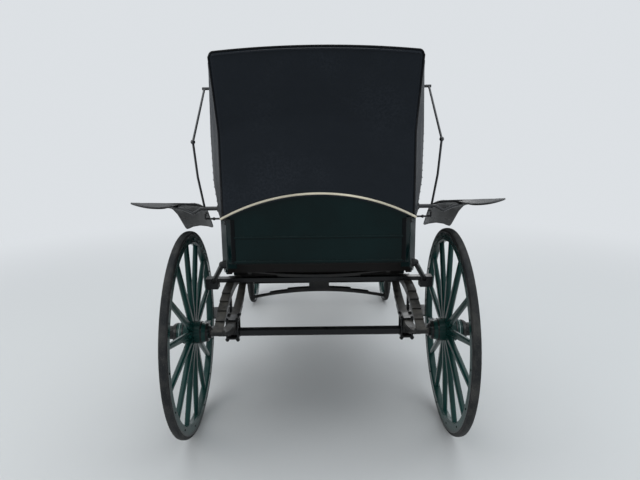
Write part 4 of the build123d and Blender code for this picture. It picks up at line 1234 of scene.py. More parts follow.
@dataclass
class Wing:
    """One patent leather wing: crowned over the rear wheel, with a pointed blade out behind it."""

    side: Side
    # y from the rear axle, then x and z of the underside from the inner edge over the crown to the outer edge
    stations: tuple = (
        (-150.0, 775.0, 1273.0, 795.0, 1275.0, 815.0, 1276.0, 835.0, 1277.0, 857.0, 1278.0),
        (-42.0, 757.0, 1270.0, 790.0, 1273.0, 830.0, 1276.0, 880.0, 1278.0, 946.0, 1278.0),
        (30.0, 745.0, 1268.0, 775.0, 1272.0, 820.0, 1276.0, 890.0, 1278.0, 995.0, 1278.0),
        (40.0, 612.0, 1250.0, 640.0, 1267.0, 668.0, 1273.0, 715.0, 1270.0, 1000.0, 1278.0),
        (80.0, 612.0, 1243.0, 640.0, 1261.0, 668.0, 1267.0, 720.0, 1262.0, 795.0, 1246.0),
        (240.0, 635.0, 1195.0, 668.0, 1220.0, 708.0, 1230.0, 760.0, 1218.0, 806.0, 1186.0),
        (600.0, 680.0, 1040.0, 712.0, 1053.0, 762.0, 1059.0, 812.0, 1051.0, 850.0, 1031.0))
    # Plan outline: y and x down the inner edge and down the outer edge
    inner: tuple = ((-150.0, 808.0), (-144.0, 790.0), (-126.0, 777.0), (-42.0, 758.0), (16.0, 748.0),
                    (28.0, 738.0), (34.0, 715.0), (38.0, 660.0), (42.0, 628.0), (50.0, 615.0), (80.0, 612.0),
                    (240.0, 635.0), (560.0, 675.0), (586.0, 681.0), (597.0, 692.0), (600.0, 710.0))
    outer: tuple = ((-150.0, 826.0), (-144.0, 848.0), (-126.0, 873.0), (-84.0, 913.0), (-42.0, 947.0),
                    (0.0, 978.0), (26.0, 994.0), (36.0, 998.0), (42.0, 996.0), (47.0, 984.0), (54.0, 950.0),
                    (64.0, 880.0), (74.0, 820.0), (84.0, 800.0), (110.0, 796.0), (240.0, 806.0),
                    (560.0, 845.0), (586.0, 846.0), (597.0, 836.0), (600.0, 818.0))
    extra_rows: tuple = (-100.0, -20.0, 140.0, 175.0, 210.0, 275.0, 310.0, 350.0, 390.0, 430.0, 470.0, 510.0)
    leather: float = 5.5
    cols: int = 15
    bead_radius: float = 4.5
    reach: float = 0.9995
    stitch_step: float = 8.0
    stitch_inset: float = 12.0
    # The stitches stay this far inside the edges, and between these places along the wing
    stitch_clear: float = 7.0
    stitch_ends: Pair = (-143.0, 594.0)

    def height(self, x: float, y: float) -> float:
        """Height of the wing's upper side at a place of its plan."""
        line = read_table(self.stations, y)
        return read_table(list(zip(line[::2], line[1::2])), x)[0] + self.leather

    def edges(self, y: float) -> Pair:
        """Distances of the inner and the outer edge from the centre line."""
        return read_table(self.inner, y)[0], read_table(self.outer, y)[0]

    def skin(self) -> bpy.types.Object:
        """Makes the wing's upper skin, smoothed.

        Returns:
            The skin.
        """
        rows = sorted({y for y, _ in self.inner} | {y for y, _ in self.outer} | set(self.extra_rows))
        verts = []
        for y in rows:
            for c in range(self.cols):
                x = mix(*self.edges(y), c / (self.cols - 1))
                verts.append(self.side.spot(x, y, self.height(x, y)))
        faces = grid_faces(len(rows), self.cols)
        made = object_from(f"wing_{self.side.word}_skin", verts, faces, [WING_LEATHER], 60.0)
        turn_out(made, lambda face: face.normal.z)
        smooth = made.modifiers.new("smooth", "SUBSURF")
        smooth.levels = smooth.render_levels = 1
        return settle(made, 60.0)

    @staticmethod
    def rim_of(made: bpy.types.Object) -> list[Vector]:
        """Follows the open edge of a skin.

        Args:
            made: The skin.

        Returns:
            The edge's points in order.
        """
        work = bmesh.new()
        work.from_mesh(made.data)
        edge = next(e for e in work.edges if e.is_boundary)
        start, here = edge.verts
        path = [start.co.copy()]
        while here is not start:
            path.append(here.co.copy())
            edge = next(e for e in here.link_edges if e.is_boundary and e is not edge)
            here = edge.other_vert(here)
        work.free()
        return path

    def build(self) -> None:
        """Makes the wing with its beaded edge and its stitching."""
        made = self.skin()
        rim = self.rim_of(made)
        add_wall(made, self.leather, 50.0)
        path = [point - Vector(UP) * (self.leather / 2 * MM) for point in rim]
        edge = bead("rim", path, circle(self.bead_radius, 8), UP, WELT_LEATHER, True, 60.0)
        for vertex in edge.data.vertices:
            vertex.co.x = min(abs(vertex.co.x), self.reach) * self.side.value
        node = f"wing_{self.side.word}"
        whole = joined(f"{node}_blade", [made, edge])
        shade(whole, 50.0)
        dress_piece(whole, "wing_leather", node)
        self.stitch(rim)

    def stitch(self, rim: Sequence[Vector]) -> None:
        """Sews a row of stitches inside the wing's edge.

        Args:
            rim: The wing's edge in metres.
        """
        row = Row(f"wing_{self.side.word}_stitches", Fitting.STITCH, WELT_LEATHER, 0.9, 2.7, "wing_leather")
        centre = sum(rim, Vector()) / len(rim)
        legs = list(zip(rim, [*rim[1:], rim[0]]))
        turn = sum((b - a).x * (a.y - centre.y) - (b - a).y * (a.x - centre.x) for a, b in legs)
        inset = self.stitch_inset * MM * (-1.0 if turn > 0 else 1.0)
        left_over = 0.0
        for a, b in legs:
            way = b - a
            while left_over < way.length:
                place = a + way * (left_over / way.length) + Vector((-way.y, way.x, 0)).normalized() * inset
                x, y = abs(place.x) / MM, place.y / MM - REAR_Y
                low, high = self.edges(y)
                along = self.stitch_ends[0] < y < self.stitch_ends[1]
                if along and low + self.stitch_clear < x < high - self.stitch_clear:
                    row.add(Vector((place.x, place.y, (self.height(x, y) + 0.1) * MM)), way)
                left_over += self.stitch_step * MM
            left_over -= way.length
        row.make()


# Cushions


@dataclass
class Cushion:
    """A stuffed leather cushion with piping and rows of buttons."""

    node: str
    rows: int = 0
    cols: int = 5
    upright: bool = False
    # The block: its mesh, how much smaller than its box it starts, its rounding, and how far it may swell
    voxel: float = 6.0
    shrink: float = 7.0
    block_corner: float = 18.0
    pressure: float = 4.0
    frames: int = 20
    cap: float = 9.0
    clearance: float = 0.2
    # Depth and width of the dimples and of the pleats, and the widest span that gets a pleat
    dimple: float = 13.0
    dimple_width: float = 30.0
    pleat: float = 3.0
    pleat_width: float = 6.0
    pleat_reach: float = 240.0
    # How far the face falls at its edges, and the sides' rounding and waist
    crown: float = 20.0
    bulge: float = 7.0
    draw: float = 7.0
    pipe_radius: float = 3.8
    pipe_corner: float = 24.0
    pipe_inset: float = 6.0
    pipe_step: float = 30.0

    @property
    def axes(self) -> tuple[int, int]:
        """The axis along the cushion's second side and the axis that its face looks along."""
        return (2, 1) if self.upright else (1, 2)

    def form(self, coords: np.ndarray) -> np.ndarray:
        """Crowns the face, rounds the sides and draws them in between the corners.

        Args:
            coords: Points in metres, inside the cushion's box.

        Returns:
            The moved points.
        """
        low, high = (np.array(corner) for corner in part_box(self.node))
        flat, face = self.axes
        part = np.clip((coords - (low + high) / 2) / ((high - low) / 2), -1.0, 1.0)
        u, v, w = part[:, 0], part[:, flat], part[:, face]
        formed = coords.copy()
        edge = 1 - (1 - np.abs(u) ** 3) * (1 - np.abs(v) ** 3)
        formed[:, face] -= self.crown * MM * edge * np.clip(w, 0.0, 1.0)
        waist = self.bulge * np.abs(w) ** 2.5
        formed[:, 0] -= np.sign(u) * u ** 4 * (waist + self.draw * (1 - v ** 2)) * MM
        formed[:, flat] -= np.sign(v) * v ** 4 * (waist + self.draw * (1 - u ** 2)) * MM
        return formed

    def formed_spot(self, across: float, along: float, level: float) -> Vector:
        """A point of the formed cushion.

        Args:
            across: Its place along the cushion's width, in metres.
            along: Its place along the second side.
            level: Its place along the way that the face looks.

        Returns:
            The point.
        """
        place = np.zeros((1, 3))
        place[0, [0, *self.axes]] = across, along, level
        return Vector(self.form(place)[0])

    def start(self) -> bpy.types.Object:
        """Makes a rounded block a little smaller than the place that the cushion fills.

        Returns:
            The block.
        """
        low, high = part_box(self.node)
        inset = Vector((self.shrink, self.shrink, self.shrink)) * MM
        work = bmesh.new()
        bmesh.ops.create_cube(work, size=1.0)
        bmesh.ops.scale(work, vec=high - low - inset * 2, verts=work.verts)
        bmesh.ops.translate(work, vec=(high + low) / 2, verts=work.verts)
        bmesh.ops.bevel(work, geom=work.edges[:], offset=self.block_corner * MM, segments=4, profile=0.6,
                        affect="EDGES")
        mesh = bpy.data.meshes.new(self.node)
        work.to_mesh(mesh)
        work.free()
        mesh.materials.append(SEAT_LEATHER.make())
        return add_object(f"{self.node}_leather", mesh)

    def swell(self, made: bpy.types.Object) -> None:
        """Remeshes the block and swells it with cloth under pressure.

        Args:
            made: The block.
        """
        remesh = made.modifiers.new("even mesh", "REMESH")
        remesh.mode = "VOXEL"
        remesh.voxel_size = self.voxel * MM
        settle(made, 180.0)
        before = np.array([v.co for v in made.data.vertices], float)
        scene = bpy.context.scene
        cloth = made.modifiers.new("stuffing", "CLOTH")
        cloth.settings.use_pressure = True
        cloth.settings.uniform_pressure_force = self.pressure
        cloth.settings.effector_weights.gravity = 0.0
        cloth.settings.mass = 0.3
        cloth.settings.quality = 5
        cloth.point_cache.frame_start, cloth.point_cache.frame_end = 1, self.frames
        for number in range(1, self.frames + 1):
            scene.frame_set(number)
        graph = bpy.context.evaluated_depsgraph_get()
        swollen = made.evaluated_get(graph).to_mesh()
        after = np.array([v.co for v in swollen.vertices], float)
        made.evaluated_get(graph).to_mesh_clear()
        made.modifiers.clear()
        scene.frame_set(1)
        move = after - before
        length = np.linalg.norm(move, axis=1, keepdims=True)
        move *= np.minimum(1.0, self.cap * MM / np.maximum(length, 1e-9))
        self.set_points(made, before + move)

    @staticmethod
    def set_points(made: bpy.types.Object, coords: np.ndarray) -> None:
        """Moves the mesh's points."""
        made.data.vertices.foreach_set("co", coords.astype(np.float32).ravel())
        made.data.update()

    def button_places(self) -> list[Pair]:
        """Spaces the buttons over the face, each second row between the buttons of the first.

        Returns:
            Places along the cushion's two sides, in metres.
        """
        low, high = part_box(self.node)
        flat, _ = self.axes
        places = []
        for row in range(self.rows):
            odd = row % 2
            for col in range(self.cols - odd):
                across, along = (col + 0.5 + 0.5 * odd) / self.cols, (row + 0.5) / self.rows
                places.append((mix(low[0], high[0], across), mix(low[flat], high[flat], along)))
        return places

    def drawn_in(self, made: bpy.types.Object, buttons: Sequence[Pair]) -> np.ndarray:
        """Draws the face in at the buttons and along the pleats between them.

        Args:
            made: The cushion.
            buttons: The buttons' places.

        Returns:
            The mesh's moved points.
        """
        low, high = (np.array(corner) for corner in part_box(self.node))
        flat, face = self.axes
        coords = np.array([v.co for v in made.data.vertices], float)
        facing = np.clip(np.array([v.normal[face] for v in made.data.vertices], float), 0.0, 1.0)
        sink = np.zeros(len(coords))
        for number, (xa, ya) in enumerate(buttons):
            dx, dy = coords[:, 0] - xa, coords[:, flat] - ya
            sink += self.dimple * MM * np.exp(-(np.hypot(dx, dy) / (self.dimple_width * MM)) ** 1.6)
            for xb, yb in buttons[number + 1:]:
                wx, wy = xb - xa, yb - ya
                reach = math.hypot(wx, wy)
                if reach > self.pleat_reach * MM or abs(wy) < 0.01:
                    continue
                part = np.clip((dx * wx + dy * wy) / reach ** 2, 0, 1)
                off = np.hypot(dx - part * wx, dy - part * wy)
                sink += self.pleat * MM * np.exp(-(off / (self.pleat_width * MM)) ** 2)
        coords[:, face] -= sink * facing ** 2
        return np.clip(coords, low + self.clearance * MM, high - self.clearance * MM)

    def build(self) -> None:
        """Makes the cushion, its piping and its buttons."""
        made = self.start()
        self.swell(made)
        places = self.button_places()
        self.set_points(made, self.form(self.drawn_in(made, places)))
        smooth = made.modifiers.new("smooth", "SMOOTH")
        smooth.iterations = 2
        smooth.factor = 0.4
        finer = made.modifiers.new("finer", "SUBSURF")
        finer.levels = finer.render_levels = 1
        settle(made, 180.0)
        dress_piece(made, "seat_leather", self.node)
        low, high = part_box(self.node)
        self.pipe(low, high)
        if places:
            _, face = self.axes
            aim = Vector((0.0, 0.0, 0.0))
            aim[face] = 1.0
            buttons = Row(f"{self.node}_buttons", Fitting.BUTTON, SEAT_LEATHER, 9.0, 4.5, "seat_leather")
            for across, along in places:
                buttons.add(self.formed_spot(across, along, high[face]) - aim * (self.dimple + 1.0) * MM, aim)
            buttons.make()

    def pipe(self, low: Vector, high: Vector) -> None:
        """Makes the piping of the cushion's two seams.

        Args:
            low: The lowest corner of the cushion's box.
            high: The highest corner.
        """
        inset, radius = self.pipe_inset * MM, self.pipe_corner * MM
        flat, face = self.axes
        a0, a1 = low[0] + inset + radius, high[0] - inset - radius
        b0, b1 = low[flat] + inset + radius, high[flat] - inset - radius
        outline = []
        for quarter, (a, b) in enumerate(((a1, b1), (a0, b1), (a0, b0), (a1, b0))):
            for k in range(7):
                turn = math.radians(90 * quarter + 15 * k)
                outline.append((a + radius * math.cos(turn), b + radius * math.sin(turn)))
        up = (0.0, 1.0, 0.0) if self.upright else UP
        seams = []
        for level in (high[face] - inset, low[face] + inset):
            path = []
            for here, after in zip(outline, [*outline[1:], outline[0]]):
                count = max(1, round(math.dist(here, after) / (self.pipe_step * MM)))
                for k in range(count):
                    across, along = (mix(a, b, k / count) for a, b in zip(here, after))
                    path.append(self.formed_spot(across, along, level))
            seams.append(bead("seam", path, circle(self.pipe_radius, 8), up, WELT_LEATHER, True, 60.0))
        made = joined(f"{self.node}_piping", seams)
        shade(made, 60.0)
        dress_piece(made, "seat_leather")


# Wheels


@dataclass
class RoadWheel:
    """Rubber tyre, steel channel, hub hoops and rim bolts of one wheel."""

    end: str
    side: Side
    y: float
    radius: float
    track: float
    spokes: int
    dish: float = 12.0
    half: float = 19.0
    depth: float = 26.0
    crown: float = 9.0
    lip: float = 2.0
    segments: int = 144
    # The hub's cone: half its flat middle, how far it tapers outwards and inwards, and its two radii
    nave_flat: float = 42.0
    nave_reach: Pair = (59.0, 47.0)
    nave_radii: Pair = (62.0, 46.0)
    # Hoops: start from the hub's middle, width and height above the hub
    hoops: tuple = ((84.0, 16.0, 3.2), (46.0, 7.0, 2.4), (-53.0, 7.0, 2.4), (-88.0, 14.0, 3.2))
    line: Pair = (66.0, 2.6)
    # The rim bolts: how far inside the tyre's foot, and how far from the rim's middle plane
    bolt_inset: float = 20.0
    rim_half: float = 20.0
    cap_bolts: int = 6
    cap_ring: float = 39.0
    cap_face: float = 108.6

    @property
    def name(self) -> str:
        """The wheel's place in words."""
        return f"{self.end}_{self.side.word}"

    @property
    def body(self) -> str:
        """The wheel's moving body."""
        return f"{self.name}_road_wheel"

    def at(self, x: float, reach: float, turn: float) -> Vector:
        """A point at a distance from the centre line, a reach from the axle and a turn from the top."""
        return Vector((self.side.value * x * MM, (self.y + reach * math.sin(turn)) * MM,
                       (self.radius + reach * math.cos(turn)) * MM))

    def turned(self, name: str, profile: Sequence[Pair], finish: Finish) -> bpy.types.Object:
        """Turns a closed profile about the wheel's axle.

        Args:
            name: The object's name.
            profile: Distances from the centre line and from the axle, in millimetres.
            finish: Its finish.

        Returns:
            The object.
        """
        turns = [2 * math.pi * k / self.segments for k in range(self.segments)]
        verts = [self.at(x, r, turn) for turn in turns for x, r in profile]
        return object_from(name, verts, tube_faces(self.segments, len(profile), True), [finish], 34.0)

    def build(self) -> None:
        """Makes the wheel's pieces."""
        x, inner = self.track, self.radius - self.depth
        foot = [(self.half - 1.0, inner + 1.0), (self.half, inner + 6.0), (self.half + 0.6, inner + 9.0)]
        outline = [(x - off, r) for off, r in foot]
        for k in range(13):
            a = math.pi * (k / 12)
            outline.append((x - (self.half - 1.0) * math.cos(a),
                            self.radius - self.crown + self.crown * math.sin(a) ** 0.8))
        outline += [(x + off, r) for off, r in reversed(foot)]
        tyre = self.turned(f"{self.name}_rubber_tyre", outline, TYRE_RUBBER)
        dress_piece(tyre, "tyre", f"{self.name}_tyre", body=self.body)
        lip = self.half + self.lip
        wall = [(lip, inner - 2.0), (lip, inner + 7.0), (lip - 1.6, inner + 8.0), (lip - 2.4, inner + 2.0)]
        outline = [(x - off, r) for off, r in wall] + [(x + off, r) for off, r in reversed(wall)]
        channel = self.turned(f"{self.name}_tyre_channel", outline, BLACK_IRON)
        dress_piece(channel, "black_iron", body=self.body)
        self.build_hub()
        self.build_bolts()

    def hub_at(self, x: float) -> float:
        """The hub's radius at a distance outwards from its middle."""
        reach = self.nave_reach[0] if x > 0 else self.nave_reach[1]
        return mix(*self.nave_radii, clamp((abs(x) - self.nave_flat) / reach))

    def build_hub(self) -> None:
        """Makes the hoops and the painted line on the hub."""
        nave = self.track - self.dish
        parts = []
        for x0, width, proud in self.hoops:
            x1 = x0 + width
            r0, r1 = self.hub_at(x0), self.hub_at(x1)
            profile = [(x0, r0 - 1.0), (x0, r0 + proud - 0.8), (x0 + 1.2, r0 + proud), (x1 - 1.2, r1 + proud),
                       (x1, r1 + proud - 0.8), (x1, r1 - 1.0)]
            parts.append(self.turned("hoop", [(nave + x, r) for x, r in profile], BLACK_IRON))
        hoops = joined(f"{self.name}_hub_hoops", parts)
        shade(hoops, 34.0)
        dress_piece(hoops, "black_iron", body=self.body)
        x0, width = self.line
        x1 = x0 + width
        line = [(x0, self.hub_at(x0) - 0.5), (x0, self.hub_at(x0) + 0.5), (x1, self.hub_at(x1) + 0.5),
                (x1, self.hub_at(x1) - 0.5)]
        made = self.turned(f"{self.name}_hub_line", [(nave + x, r) for x, r in line], LINE_PAINT)
        dress_piece(made, "wheel_paint", body=self.body)

    def build_bolts(self) -> None:
        """Makes the bolts through the rim and on the axle cap."""
        bolts = Row(f"{self.name}_rim_bolts", Fitting.DOME, BLACK_IRON, 6.0, 3.2, body=self.body)
        ring = self.radius - self.depth - self.bolt_inset
        for k in range(self.spokes):
            turn = 2 * math.pi * (k + 0.5) / self.spokes
            for face in (-1, 1):
                place = self.at(self.track + face * self.rim_half, ring, turn)
                bolts.add(place, (self.side.value * face, 0, 0))
        for k in range(self.cap_bolts):
            turn = 2 * math.pi * (k + 0.5) / self.cap_bolts
            bolts.add(self.at(self.track - self.dish + self.cap_face, self.cap_ring, turn), self.side.out)
        bolts.make()


# Running gear and body


@dataclass
class RunningGear:
    """Nuts of the springs' clips."""

    bolt_x: float = 28.8
    bolt_y: float = 38.0
    nut_size: Pair = (10.5, 9.0)
    # End, body, the springs' x and y, and the heights of the nuts under and over the axle
    ends: tuple = (("rear", Body.CARRIAGE, 478.0, REAR_Y, 533.0, 646.3),
                   ("front", Body.FORE, 400.0, FRONT_Y, 401.0, 506.3))

    def build(self) -> None:
        """Makes the nuts under and the heads over every axle clip."""
        for word, body, x, y, under, over in self.ends:
            nuts = Row(f"{word}_clip_nuts", Fitting.NUT, BLACK_IRON, *self.nut_size, body=body.value)
            for side in Side:
                for sx in (-1, 1):
                    for sy in (-1, 1):
                        px, py = side.value * x + sx * self.bolt_x, y + sy * self.bolt_y
                        nuts.add(Vector((px * MM, py * MM, under * MM)), (0, 0, -1))
                        nuts.add(Vector((px * MM, py * MM, over * MM)), UP)
            nuts.make()


@dataclass
class BodyWork:
    """Mouldings, pillars and treads of the body."""

    back_y: float = -330.0
    # Heights, widths and depths of the back's rails
    rails: tuple = ((1158.0, 12.0, 4.5), (1040.0, 14.0, 5.0))
    rail_reach: float = 408.0
    pillar_x: float = 404.0
    pillar_z: Pair = (1034.0, 1244.0)
    # Width and height of each kind of half-round moulding
    pillar_size: Pair = (20.0, 5.0)
    edge_size: Pair = (12.0, 4.0)
    batten_size: Pair = (20.0, 7.0)
    bar_size: Pair = (7.0, 2.6)
    # Half the body's width at distances ahead of the rear axle
    plan: tuple = ((-330.0, 438.0), (20.0, 522.0), (1180.0, 522.0), (1480.0, 400.0), (2330.0, 400.0))
    # Edges of the side panels: y and z of their points, and arcs as their middle and their end
    top_start: Pair = (84.0, 1262.0)
    top_edge: tuple = ((170.0, 1262.0), ((310.0, 1172.0), (350.0, 990.0)), ((460.0, 850.0), (700.0, 790.0)),
                       (1060.0, 790.0), ((1200.0, 900.0), (1240.0, 1140.0)), (2326.0, 1140.0))
    low_start: Pair = (-275.0, 975.0)
    low_edge: tuple = ((-170.0, 946.0), (190.0, 946.0), ((320.0, 875.0), (385.0, 778.0)), (475.0, 778.0),
                       (570.0, 672.0), (1180.0, 672.0), ((1290.0, 822.0), (1480.0, 892.0)), (2326.0, 892.0))
    leg_step: float = 90.0
    inset: float = 8.0
    chest: tuple = (-370.0, 370.0, 1560.0, 1990.0)
    chest_z: Pair = (1290.0, 1150.0)
    board: tuple = (2330.0, 910.0, 2690.0, 1120.0)
    board_half: float = 350.0
    battens: tuple = (0.18, 0.34, 0.5, 0.66, 0.82)
    step: tuple = (612.0, 752.0, 674.0, 866.0, 410.0)
    step_bars: int = 9

    @staticmethod
    def arc(a: Pair, b: Pair, c: Pair, count: int = 14) -> list[Pair]:
        """Samples an arc.

        Args:
            a: Where it starts.
            b: A point on its way.
            c: Where it ends.
            count: Steps.

        Returns:
            Its points without the first.
        """
        double = 2 * (a[0] * (b[1] - c[1]) + b[0] * (c[1] - a[1]) + c[0] * (a[1] - b[1]))
        squares = [p[0] ** 2 + p[1] ** 2 for p in (a, b, c)]
        centre = (sum(s * d for s, d in zip(squares, (b[1] - c[1], c[1] - a[1], a[1] - b[1]))) / double,
                  sum(s * d for s, d in zip(squares, (c[0] - b[0], a[0] - c[0], b[0] - a[0]))) / double)
        radius = math.dist(a, centre)
        first = math.atan2(a[1] - centre[1], a[0] - centre[0])
        sweep = (math.atan2(c[1] - centre[1], c[0] - centre[0]) - first) % (2 * math.pi)
        if double < 0:
            sweep -= 2 * math.pi
        turns = [first + sweep * k / count for k in range(1, count + 1)]
        return [(centre[0] + radius * math.cos(turn), centre[1] + radius * math.sin(turn)) for turn in turns]

    def edge_path(self, start: Pair, legs: tuple, off: float) -> list[Pair]:
        """Samples an edge's legs and moves them sideways.

        Args:
            start: The edge's first point.
            legs: End points, or arcs as their middle and their end.
            off: How far the path lies to the left of the edge, in millimetres.

        Returns:
            The path's y and z.
        """
        line = [start]
        for leg in legs:
            old = line[-1]
            if isinstance(leg[0], tuple):
                line += self.arc(old, *leg)
                continue
            count = max(2, round(math.dist(old, leg) / self.leg_step))
            for k in range(1, count + 1):
                line.append((mix(old[0], leg[0], k / count), mix(old[1], leg[1], k / count)))
        path = []
        for number, (y, z) in enumerate(line):
            ahead, behind = line[min(number + 1, len(line) - 1)], line[max(number - 1, 0)]
            shift = off / math.dist(ahead, behind)
            path.append((y - shift * (ahead[1] - behind[1]), z + shift * (ahead[0] - behind[0])))
        return path

    def build(self) -> None:
        """Makes the mouldings, the battens and the treads."""
        self.build_back()
        self.build_sides()
        self.build_box()
        self.build_steps()

    def build_back(self) -> None:
        """Makes the rails and the pillars of the back."""
        rails, pillars = [], []
        for z, width, height in self.rails:
            path = [spot(x, self.back_y, z) for x in np.linspace(-self.rail_reach, self.rail_reach, 9)]
            rails.append(bead("rail", path, half_round(width, height), BACK, BODY_PAINT))
        dress_piece(joined("back_mouldings", rails), "body_paint")
        for side in Side:
            path = [side.spot(self.pillar_x, self.back_y, z) for z in np.linspace(*self.pillar_z, 9)]
            # The pillars' near-black paint is a painted reflection of the wheels
            pillars.append(bead("pillar", path, half_round(*self.pillar_size), BACK, PILLAR_REFLECTION_PAINT))
        dress_piece(joined("back_pillars", pillars), "body_paint")

    def build_sides(self) -> None:
        """Makes the half-round mouldings along the side panels' edges."""
        for side in Side:
            beads = []
            for start, legs, off in ((self.top_start, self.top_edge, -self.inset),
                                     (self.low_start, self.low_edge, self.inset)):
                edge = self.edge_path(start, legs, off)
                path = [side.spot(read_table(self.plan, y)[0], y, z) for y, z in edge]
                beads.append(bead("bead", path, half_round(*self.edge_size), side.out, BODY_PAINT))
            dress_piece(joined(f"side_mouldings_{side.word}", beads), "body_paint")

    def build_box(self) -> None:
        """Makes the mouldings round the driver's box and the battens of the toe board."""
        x0, x1, y0, y1 = self.chest
        beads, battens = [], []
        for z in self.chest_z:
            for a, b, out in (((x0, y0), (x1, y0), BACK), ((x0, y1), (x1, y1), (0, 1, 0)),
                              ((x0, y0), (x0, y1), (-1, 0, 0)), ((x1, y0), (x1, y1), (1, 0, 0))):
                path = [spot(*a, z), spot(*b, z)]
                beads.append(bead("bead", path, half_round(*self.edge_size), out, BODY_PAINT))
        dress_piece(joined("box_mouldings", beads), "body_paint")
        ya, za, yb, zb = self.board
        rise = tuple(Vector((0.0, za - zb, yb - ya)).normalized())
        for share in self.battens:
            y, z = mix(ya, yb, share), mix(za, zb, share)
            path = [spot(x, y, z) for x in (-self.board_half, self.board_half)]
            battens.append(bead("batten", path, half_round(*self.batten_size), rise, BODY_PAINT))
        dress_piece(joined("toe_board_battens", battens), "body_paint")

    def build_steps(self) -> None:
        """Makes the raised bars that keep a foot from slipping off a step."""
        x0, x1, y0, y1, z = self.step
        bars = []
        for side in Side:
            for y in np.linspace(y0, y1, self.step_bars):
                path = [side.spot(x, y, z) for x in (x0, x1)]
                bars.append(bead("bar", path, half_round(*self.bar_size), UP, BLACK_IRON))
        dress_piece(joined("step_bars", bars), "black_iron")


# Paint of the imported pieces


@dataclass
class PaintShop:
    """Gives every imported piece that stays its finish, by its slot in the record or by its name."""

    finishes: dict[str, Finish] = field(default_factory=lambda: {
        "tyre": TYRE_RUBBER, "wheel_paint": WHEEL_PAINT, "body_paint": BODY_PAINT, "black_iron": BLACK_IRON,
        "hood_leather": HOOD_LEATHER, "wing_leather": WING_LEATHER, "seat_leather": SEAT_LEATHER,
        "bow_wood": BOW_WOOD})
    # wing_stays and hood_irons get the iron whose lighter colour is a painted highlight
    special: dict[str, Finish] = field(default_factory=lambda: {
        "rear_side_springs": SPRING_IRON, "front_springs": SPRING_IRON, "rear_cross_spring": SPRING_IRON,
        "rear_hung_spring": SPRING_IRON, "body_side_left": SIDE_PAINT, "body_side_right": SIDE_PAINT,
        "wing_stays": STAY_IRON_PAINTED_HIGHLIGHT, "hood_irons": STAY_IRON_PAINTED_HIGHLIGHT})

    def build(self) -> None:
        """Assigns the materials."""
        for part in frame["record"]["subparts"]:
            node = part["node"]
            finish = self.special.get(node, self.finishes[part["material_slot"]])
            made = frame["nodes"][node]
            if not made.material_slots:
                made.data.materials.append(finish.make())
            for slot in made.material_slots:
                slot.material = finish.make()


# Studio


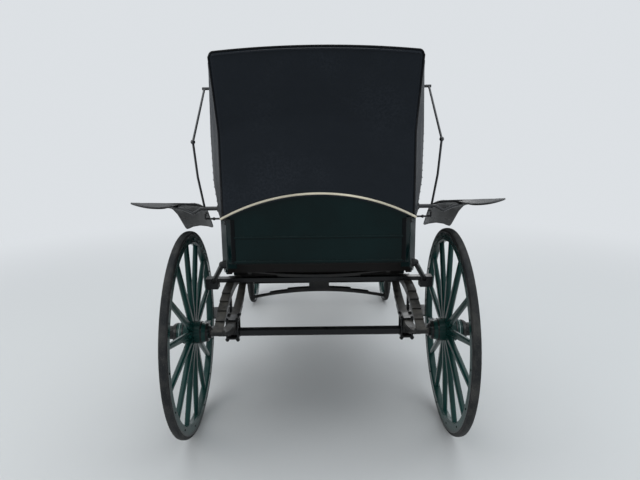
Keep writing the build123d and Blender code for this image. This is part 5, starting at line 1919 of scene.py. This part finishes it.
@dataclass
class Studio:
    """Pale floor, soft lamps, world and camera."""

    focal_pixels: float = 532.0
    image_width: float = 640.0
    sensor: float = 36.0
    camera_at: Point = (0.0, -4.009, 1.65)
    pitch_down: float = 11.63
    roll: float = -0.7
    shift: float = 0.0023
    floor_reach: float = 30.0
    sky_colour: Colour = (0.86, 0.93, 1.0)
    sky_strength: float = 0.62
    back_colour: Colour = (0.72, 0.75, 0.78)
    # Name, place, what it faces, its two sides, watts and colour
    lamps: tuple = (
        ("over", (0.0, -0.4, 6.0), (0.0, 0.0, 0.8), (8.0, 8.0), 190.0, (0.93, 0.97, 1.0)),
        ("left", (-5.2, -3.6, 3.4), (0.0, -0.4, 0.9), (3.6, 3.4), 75.0, (1.0, 0.98, 0.95)),
        ("right", (5.2, -2.4, 3.2), (0.0, -0.2, 0.9), (3.4, 3.4), 50.0, (0.95, 0.98, 1.0)),
        ("front", (0.6, 6.0, 3.4), (0.0, 0.6, 0.9), (4.0, 3.4), 70.0, (1.0, 1.0, 1.0)))

    def build(self) -> None:
        """Makes the floor, the lamps, the world and the camera."""
        reach = self.floor_reach
        corners = [(-reach, -reach, 0), (reach, -reach, 0), (reach, reach, 0), (-reach, reach, 0)]
        object_from("studio_floor", corners, [(0, 1, 2, 3)], [FLOOR])
        self.build_world()
        self.build_lamps()
        self.build_camera()
        bpy.context.scene.view_settings.view_transform = "Standard"

    def build_world(self) -> None:
        """Makes the world: soft light, and the pale background for what is seen or mirrored."""
        world = bpy.data.worlds.new("studio")
        world.use_nodes = True
        bpy.context.scene.world = world
        world.node_tree.nodes.clear()
        graph = Graph(world.node_tree)
        path = graph.node("ShaderNodeLightPath").outputs
        camera, mirror, through = (Wire(graph.tree, path[f"Is {kind} Ray"])
                                   for kind in ("Camera", "Glossy", "Transmission"))
        seen = camera.maths("MAXIMUM", camera.maths("MAXIMUM", camera, mirror), through)
        light = graph.node("ShaderNodeBackground", inputs={"Color": (*self.sky_colour, 1.0),
                                                           "Strength": self.sky_strength})
        back = graph.node("ShaderNodeBackground", inputs={"Color": (*self.back_colour, 1.0), "Strength": 1.0})
        choice = graph.node("ShaderNodeMixShader", inputs={0: seen, 1: light.outputs[0], 2: back.outputs[0]})
        graph.node("ShaderNodeOutputWorld", inputs={"Surface": choice.outputs[0]})

    def build_lamps(self) -> None:
        """Hangs the soft lamps."""
        for name, place, target, size, watts, colour in self.lamps:
            data = bpy.data.lights.new(f"lamp_{name}", "AREA")
            data.shape = "RECTANGLE"
            data.size, data.size_y = size
            data.energy = watts
            data.color = colour
            lamp = add_object(f"lamp_{name}", data)
            lamp.location = place
            lamp.rotation_euler = (Vector(target) - Vector(place)).to_track_quat("-Z", "Y").to_euler()

    def build_camera(self) -> None:
        """Sets the camera at the photograph's place."""
        data = bpy.data.cameras.new("camera")
        data.sensor_width = self.sensor
        data.lens = self.focal_pixels / self.image_width * self.sensor
        data.shift_x = self.shift
        camera = add_object("camera", data)
        pitch = Matrix.Rotation(math.radians(90.0 - self.pitch_down), 4, "X")
        roll = Matrix.Rotation(math.radians(self.roll), 4, "Z")
        camera.matrix_world = Matrix.Translation(self.camera_at) @ pitch @ roll
        bpy.context.scene.camera = camera


def wheels() -> Iterable[RoadWheel]:
    """The carriage's four wheels."""
    for end in (("rear", REAR_Y, 562.0, 712.0, 14), ("front", FRONT_Y, 430.0, 640.0, 12)):
        for side in Side:
            yield RoadWheel(end[0], side, *end[1:])


def main() -> None:
    """Builds the carriage's looks in order."""
    logging.basicConfig(level=logging.INFO, format="%(message)s", stream=sys.stdout)
    Studio().build()
    PaintShop().build()
    Hood().build()
    for side in Side:
        Wing(side).build()
    Cushion("rear_cushion", rows=3, voxel=7.2).build()
    Cushion("rear_squab", rows=1, upright=True, dimple=10.0, shrink=6.0, crown=14.0, bulge=5.0,
            draw=4.0).build()
    Cushion("box_cushion", crown=18.0).build()
    for wheel in wheels():
        wheel.build()
    RunningGear().build()
    BodyWork().build()


if __name__ == "__main__":
    main()
